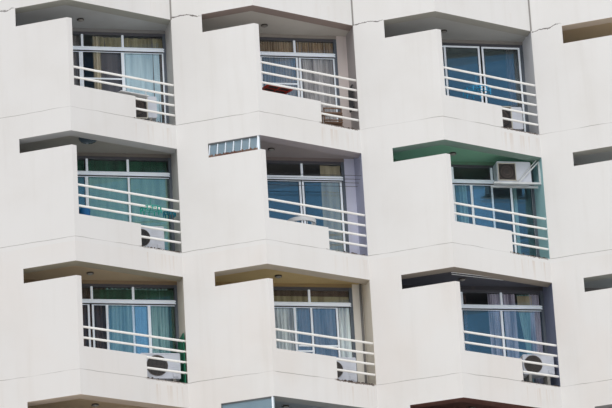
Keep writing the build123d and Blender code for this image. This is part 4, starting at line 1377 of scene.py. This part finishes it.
# %% Slatted rack and wall rack
bm = bmesh.new()
for level in (0.28, 0.33, 0.44, 0.49, 0.6):
    add_box(bm, (3.3, 0.3, level - 0.014), (3.72, 0.32, level + 0.014), 0.003)
for x in (3.32, 3.7):
    for y in (0.32, 0.52):
        add_box(bm, (x - 0.012, y, FLOOR_Z), (x + 0.012, y + 0.024, 0.62), 0.003)
for level in (0.27, 0.52):
    add_box(bm, (3.31, 0.32, level - 0.02), (3.71, 0.54, level), 0.003)
place_piece(bm, "slatted_rack", cell(5, 2), crate_brown)

bm = bmesh.new()
for number in range(7):
    add_box(bm, (3.93, 0.2 + 0.05 * number, 0.6), (3.95, 0.218 + 0.05 * number, 1.12))
for level in (0.6, 0.78, 0.94, 1.1):
    add_box(bm, (3.935, 0.19, level), (3.965, 0.53, level + 0.02))
place_piece(bm, "wall_rack", cell(5, 2), line_grey)

# %% [markdown]
# Dead leaves and grit lie along the open sills, darkest where the rain doesn't reach. They are
# small flakes thrown by a random generator with a fixed seed, so they fall alike each time.

# %% Litter on the open sills
litter_brown = coated("litter_brown", shade(70, 54, 44), shade(40, 32, 28), 0.5, 0.9)
litter_luck = random.Random(11)
bm = bmesh.new()
for storey, bay, rear in all_cells:
    for number in range(26 + 22 * ((storey + bay) % 2)):
        along = 1.5 + 1.02 * litter_luck.random()
        size = 0.012 + 0.02 * litter_luck.random()
        spot = Matrix.Translation((along, 0.004 + 0.05 * litter_luck.random(), 0.0))
        turn = Matrix.Rotation(3.14 * litter_luck.random(), 4, "Z")
        low, high = (-size, -size / 3, 0.0), (size, size / 3, 0.006 + 0.018 * litter_luck.random())
        add_box(bm, low, high, 0.0, cell(storey, bay, rear) @ RIGHT_LEG @ spot @ turn)
to_piece(to_mesh(bm, "sill_litter"), [litter_brown])

# %% [markdown]
# A peg hanger is two rings and a cross of wire, with pegs around the outer ring and a hook over
# its rod. Three hang in view, each of its own size.

# %% Peg hangers
PEGS = 12


def peg_hanger(radius, drop):
    """A round frame of wire with pegs and a cross, on one rod below a hook."""
    bm = bmesh.new()
    lay = Matrix.Rotation(math.pi / 2, 4, "X")
    for ring in (radius, radius * 0.55):
        before = set(bm.verts)
        add_ring(bm, ring, 0.007, 24, 5)
        place_new(bm, lay, before)
    for number in range(2):
        spin = Matrix.Rotation(math.pi * number / 2, 4, "Z")
        add_box(bm, (-radius, -0.006, -0.006), (radius, 0.006, 0.006), 0.0, spin)
    for number in range(PEGS):
        spin = Matrix.Rotation(2 * math.pi * number / PEGS, 4, "Z")
        add_box(bm, (radius - 0.012, -0.01, -0.09), (radius + 0.01, 0.01, 0.0), 0.002, spin)
    add_box(bm, (-0.004, -0.004, 0.0), (0.004, 0.004, drop))
    add_box(bm, (-0.004, -0.06, drop - 0.008), (0.004, 0.004, drop))
    return bm


for name, balcony, place, radius, drop, plastic in (
    ("turquoise_hanger", (4, 1), (3.36, -0.12, 0.92), 0.22, 0.285, turquoise_plastic),
    ("teal_hanger", (4, 1), (3.8, 0.12, 0.93), 0.13, 0.1, teal_plastic),
    ("cyan_hanger", (5, 3), (2.56, -0.36, 0.84), 0.3, 0.325, cyan_plastic),
):
    place_piece(peg_hanger(radius, drop), name, cell(*balcony) @ Matrix.Translation(place), plastic)

# %% [markdown]
# The garden chair is one moulded shell: a round back with slots under a broad rail, a seat and
# four legs. Only the top of its back shows over the parapet. The slats are plain bars turned
# about the seat's middle, and the rail over them is a flat section spun about the same axis.

# %% Garden chair
BACK_RADIUS = 0.29
BACK_TOP = 0.79
HALF_SWEEP = math.radians(112)
SEAT_HEIGHT = 0.43
LEGS = 4
bm = bmesh.new()
for number in range(8):
    turn = Matrix.Rotation(math.radians(-84 + 24 * number), 4, "Z")
    add_box(bm, (-0.006, BACK_RADIUS - 0.008, 0.44), (0.006, BACK_RADIUS, BACK_TOP - 0.03), 0.003, turn)
rail = bmesh.ops.create_grid(bm, x_segments=1, y_segments=1, size=0.5)["verts"]
section = Matrix.Rotation(-HALF_SWEEP, 4, "Z") @ Matrix.Translation((0.0, BACK_RADIUS, BACK_TOP))
lay = Matrix.Rotation(math.pi / 2, 4, "Y") @ Matrix.Diagonal((0.085, 0.04, 1.0, 1.0))
bmesh.ops.transform(bm, verts=rail, matrix=section @ lay)
bmesh.ops.spin(bm, geom=rail[0].link_faces[:], axis=(0, 0, 1), cent=(0, 0, 0),
               angle=2 * HALF_SWEEP, steps=28)
seat = bmesh.ops.create_cone(bm, cap_ends=True, segments=24, radius1=0.26, radius2=0.27, depth=0.03)
bmesh.ops.translate(bm, verts=seat["verts"], vec=(0.0, 0.0, SEAT_HEIGHT))
for number in range(LEGS):
    turn = Matrix.Rotation(math.radians(45) + 2 * math.pi * number / LEGS, 4, "Z")
    leg = bmesh.ops.create_cone(bm, cap_ends=True, segments=10, radius1=0.018, radius2=0.028,
                                depth=SEAT_HEIGHT)
    place = turn @ Matrix.Translation((0.24, 0.0, SEAT_HEIGHT / 2))
    bmesh.ops.transform(bm, verts=leg["verts"], matrix=place)
about = Matrix.Rotation(math.pi, 4, "Z")
place_piece(bm, "garden_chair", cell(4, 2) @ Matrix.Translation((2.6, 0.0, FLOOR_Z)) @ about, white_plastic)

# %% [markdown]
# Thin washing lines run between the walls of one balcony, and two rods hang under the ceiling of
# another. Each is a straight bar between two points: a cylinder is made upright and turned into
# its direction. The same bar serves as the strut before the hung casing.

# %% Washing lines and rods
def add_bar(bm, start, end, radius, sides=8):
    """A straight round bar between two points."""
    start, end = Vector(start), Vector(end)
    run = end - start
    turn = run.to_track_quat("Z", "Y").to_matrix().to_4x4()
    matrix = Matrix.Translation((start + end) / 2) @ turn
    bmesh.ops.create_cone(bm, cap_ends=True, segments=sides, radius1=radius, radius2=radius,
                          depth=run.length, matrix=matrix)


bm = bmesh.new()
for number in range(4):
    y, z = 0.12 + 0.12 * number, 1.86 - 0.04 * number
    add_bar(bm, (0.15, y, z), (4.0, y, z - 0.01), 0.005, 5)
place_piece(bm, "washing_lines", cell(4, 2), line_grey)

rod_ends = [((1.62, -0.62, 2.3), (2.9, -0.2, 2.33)), ((1.66, -0.5, 2.3), (2.9, -0.08, 2.33))]
bm = bmesh.new()
for start, end in rod_ends:
    add_bar(bm, start, end, 0.008)
    for share in (0.1, 0.9):
        hang = Vector(start).lerp(Vector(end), share)
        add_bar(bm, hang, (hang.x, hang.y, CEILING_Z), 0.003, 5)
place_piece(bm, "drying_rods", cell(3, 3), white_plastic)

strut_y = HUNG_FRONT - 0.016
bm = bmesh.new()
for rear in (False, True):
    before = set(bm.verts)
    add_bar(bm, (3.44, strut_y, 1.79), (3.94, strut_y, 2.32), 0.011)
    place_new(bm, cell(*HUNG_COOLER, rear), before)
to_piece(to_mesh(bm, "front_struts"), [bracket_metal])

# %% [markdown]
# ## The stage
# The floor is a plain pale sheet. The camera stands below its level, so the floor shows only
# its upper side to the camera: Backfacing tells which side a ray meets, and the lower side is
# clear for camera rays alone, so the floor still takes the block's shadow and lights it from
# below. The world is white to the camera, and a clear blue sky to the window panes.

# %% Floor
bm = bmesh.new()
bmesh.ops.create_circle(bm, cap_ends=True, segments=64, radius=70.0)
floor_mesh = bpy.data.meshes.new("floor")
bm.to_mesh(floor_mesh)
bm.free()
floor = bpy.data.objects.new("floor", floor_mesh)
scene.collection.objects.link(floor)
floor_paint, tree, shader = new_material("floor_paint")
shader.inputs["Base Color"].default_value = shade(222, 220, 216)
shader.inputs["Roughness"].default_value = 0.9
seen = put(tree, "ShaderNodeLightPath").outputs["Is Camera Ray"]
below = put(tree, "ShaderNodeNewGeometry").outputs["Backfacing"]
clear = put(tree, "ShaderNodeBsdfTransparent")
seen_from_below = product(tree, seen, below)
mixed = put(tree, "ShaderNodeMixShader", {0: seen_from_below, 1: shader.outputs[0], 2: clear.outputs[0]})
tree.links.new(mixed.outputs[0], tree.nodes["Material Output"].inputs["Surface"])
floor_mesh.materials.append(floor_paint)
print("floor faces up:", floor_mesh.polygons[0].normal.z > 0)

# %% World and lights
world = bpy.data.worlds.new("sky")
scene.world = world
world.use_nodes = True
tree = world.node_tree
tree.nodes.clear()
path = put(tree, "ShaderNodeLightPath").outputs
direction = put(tree, "ShaderNodeTexCoord").outputs["Generated"]
height = put(tree, "ShaderNodeSeparateXYZ", {0: direction}).outputs[2]
sky = blend(tree, ramp_between(tree, height, -0.05, 0.7), shade(152, 190, 220), shade(104, 154, 200))
plain = blend(tree, path["Is Glossy Ray"], (0.87, 0.87, 0.88, 1.0), sky)
seen = calc(tree, "MAXIMUM", path["Is Camera Ray"], path["Is Transmission Ray"])
colour = blend(tree, seen, plain, (1.0, 1.0, 1.0, 1.0))
background = put(tree, "ShaderNodeBackground", {"Color": colour, "Strength": 1.0})
put(tree, "ShaderNodeOutputWorld", {"Surface": background.outputs[0]})

sun_data = bpy.data.lights.new("soft_sun", "SUN")
sun_data.energy = 0.93
sun_data.angle = 0.7
sun_data.color = (1.0, 0.98, 0.95)
sun = bpy.data.objects.new("soft_sun", sun_data)
sun.rotation_euler = (math.radians(48), 0.0, math.radians(-22))
scene.collection.objects.link(sun)
scene.view_settings.view_transform = "Standard"
print("lights ready")
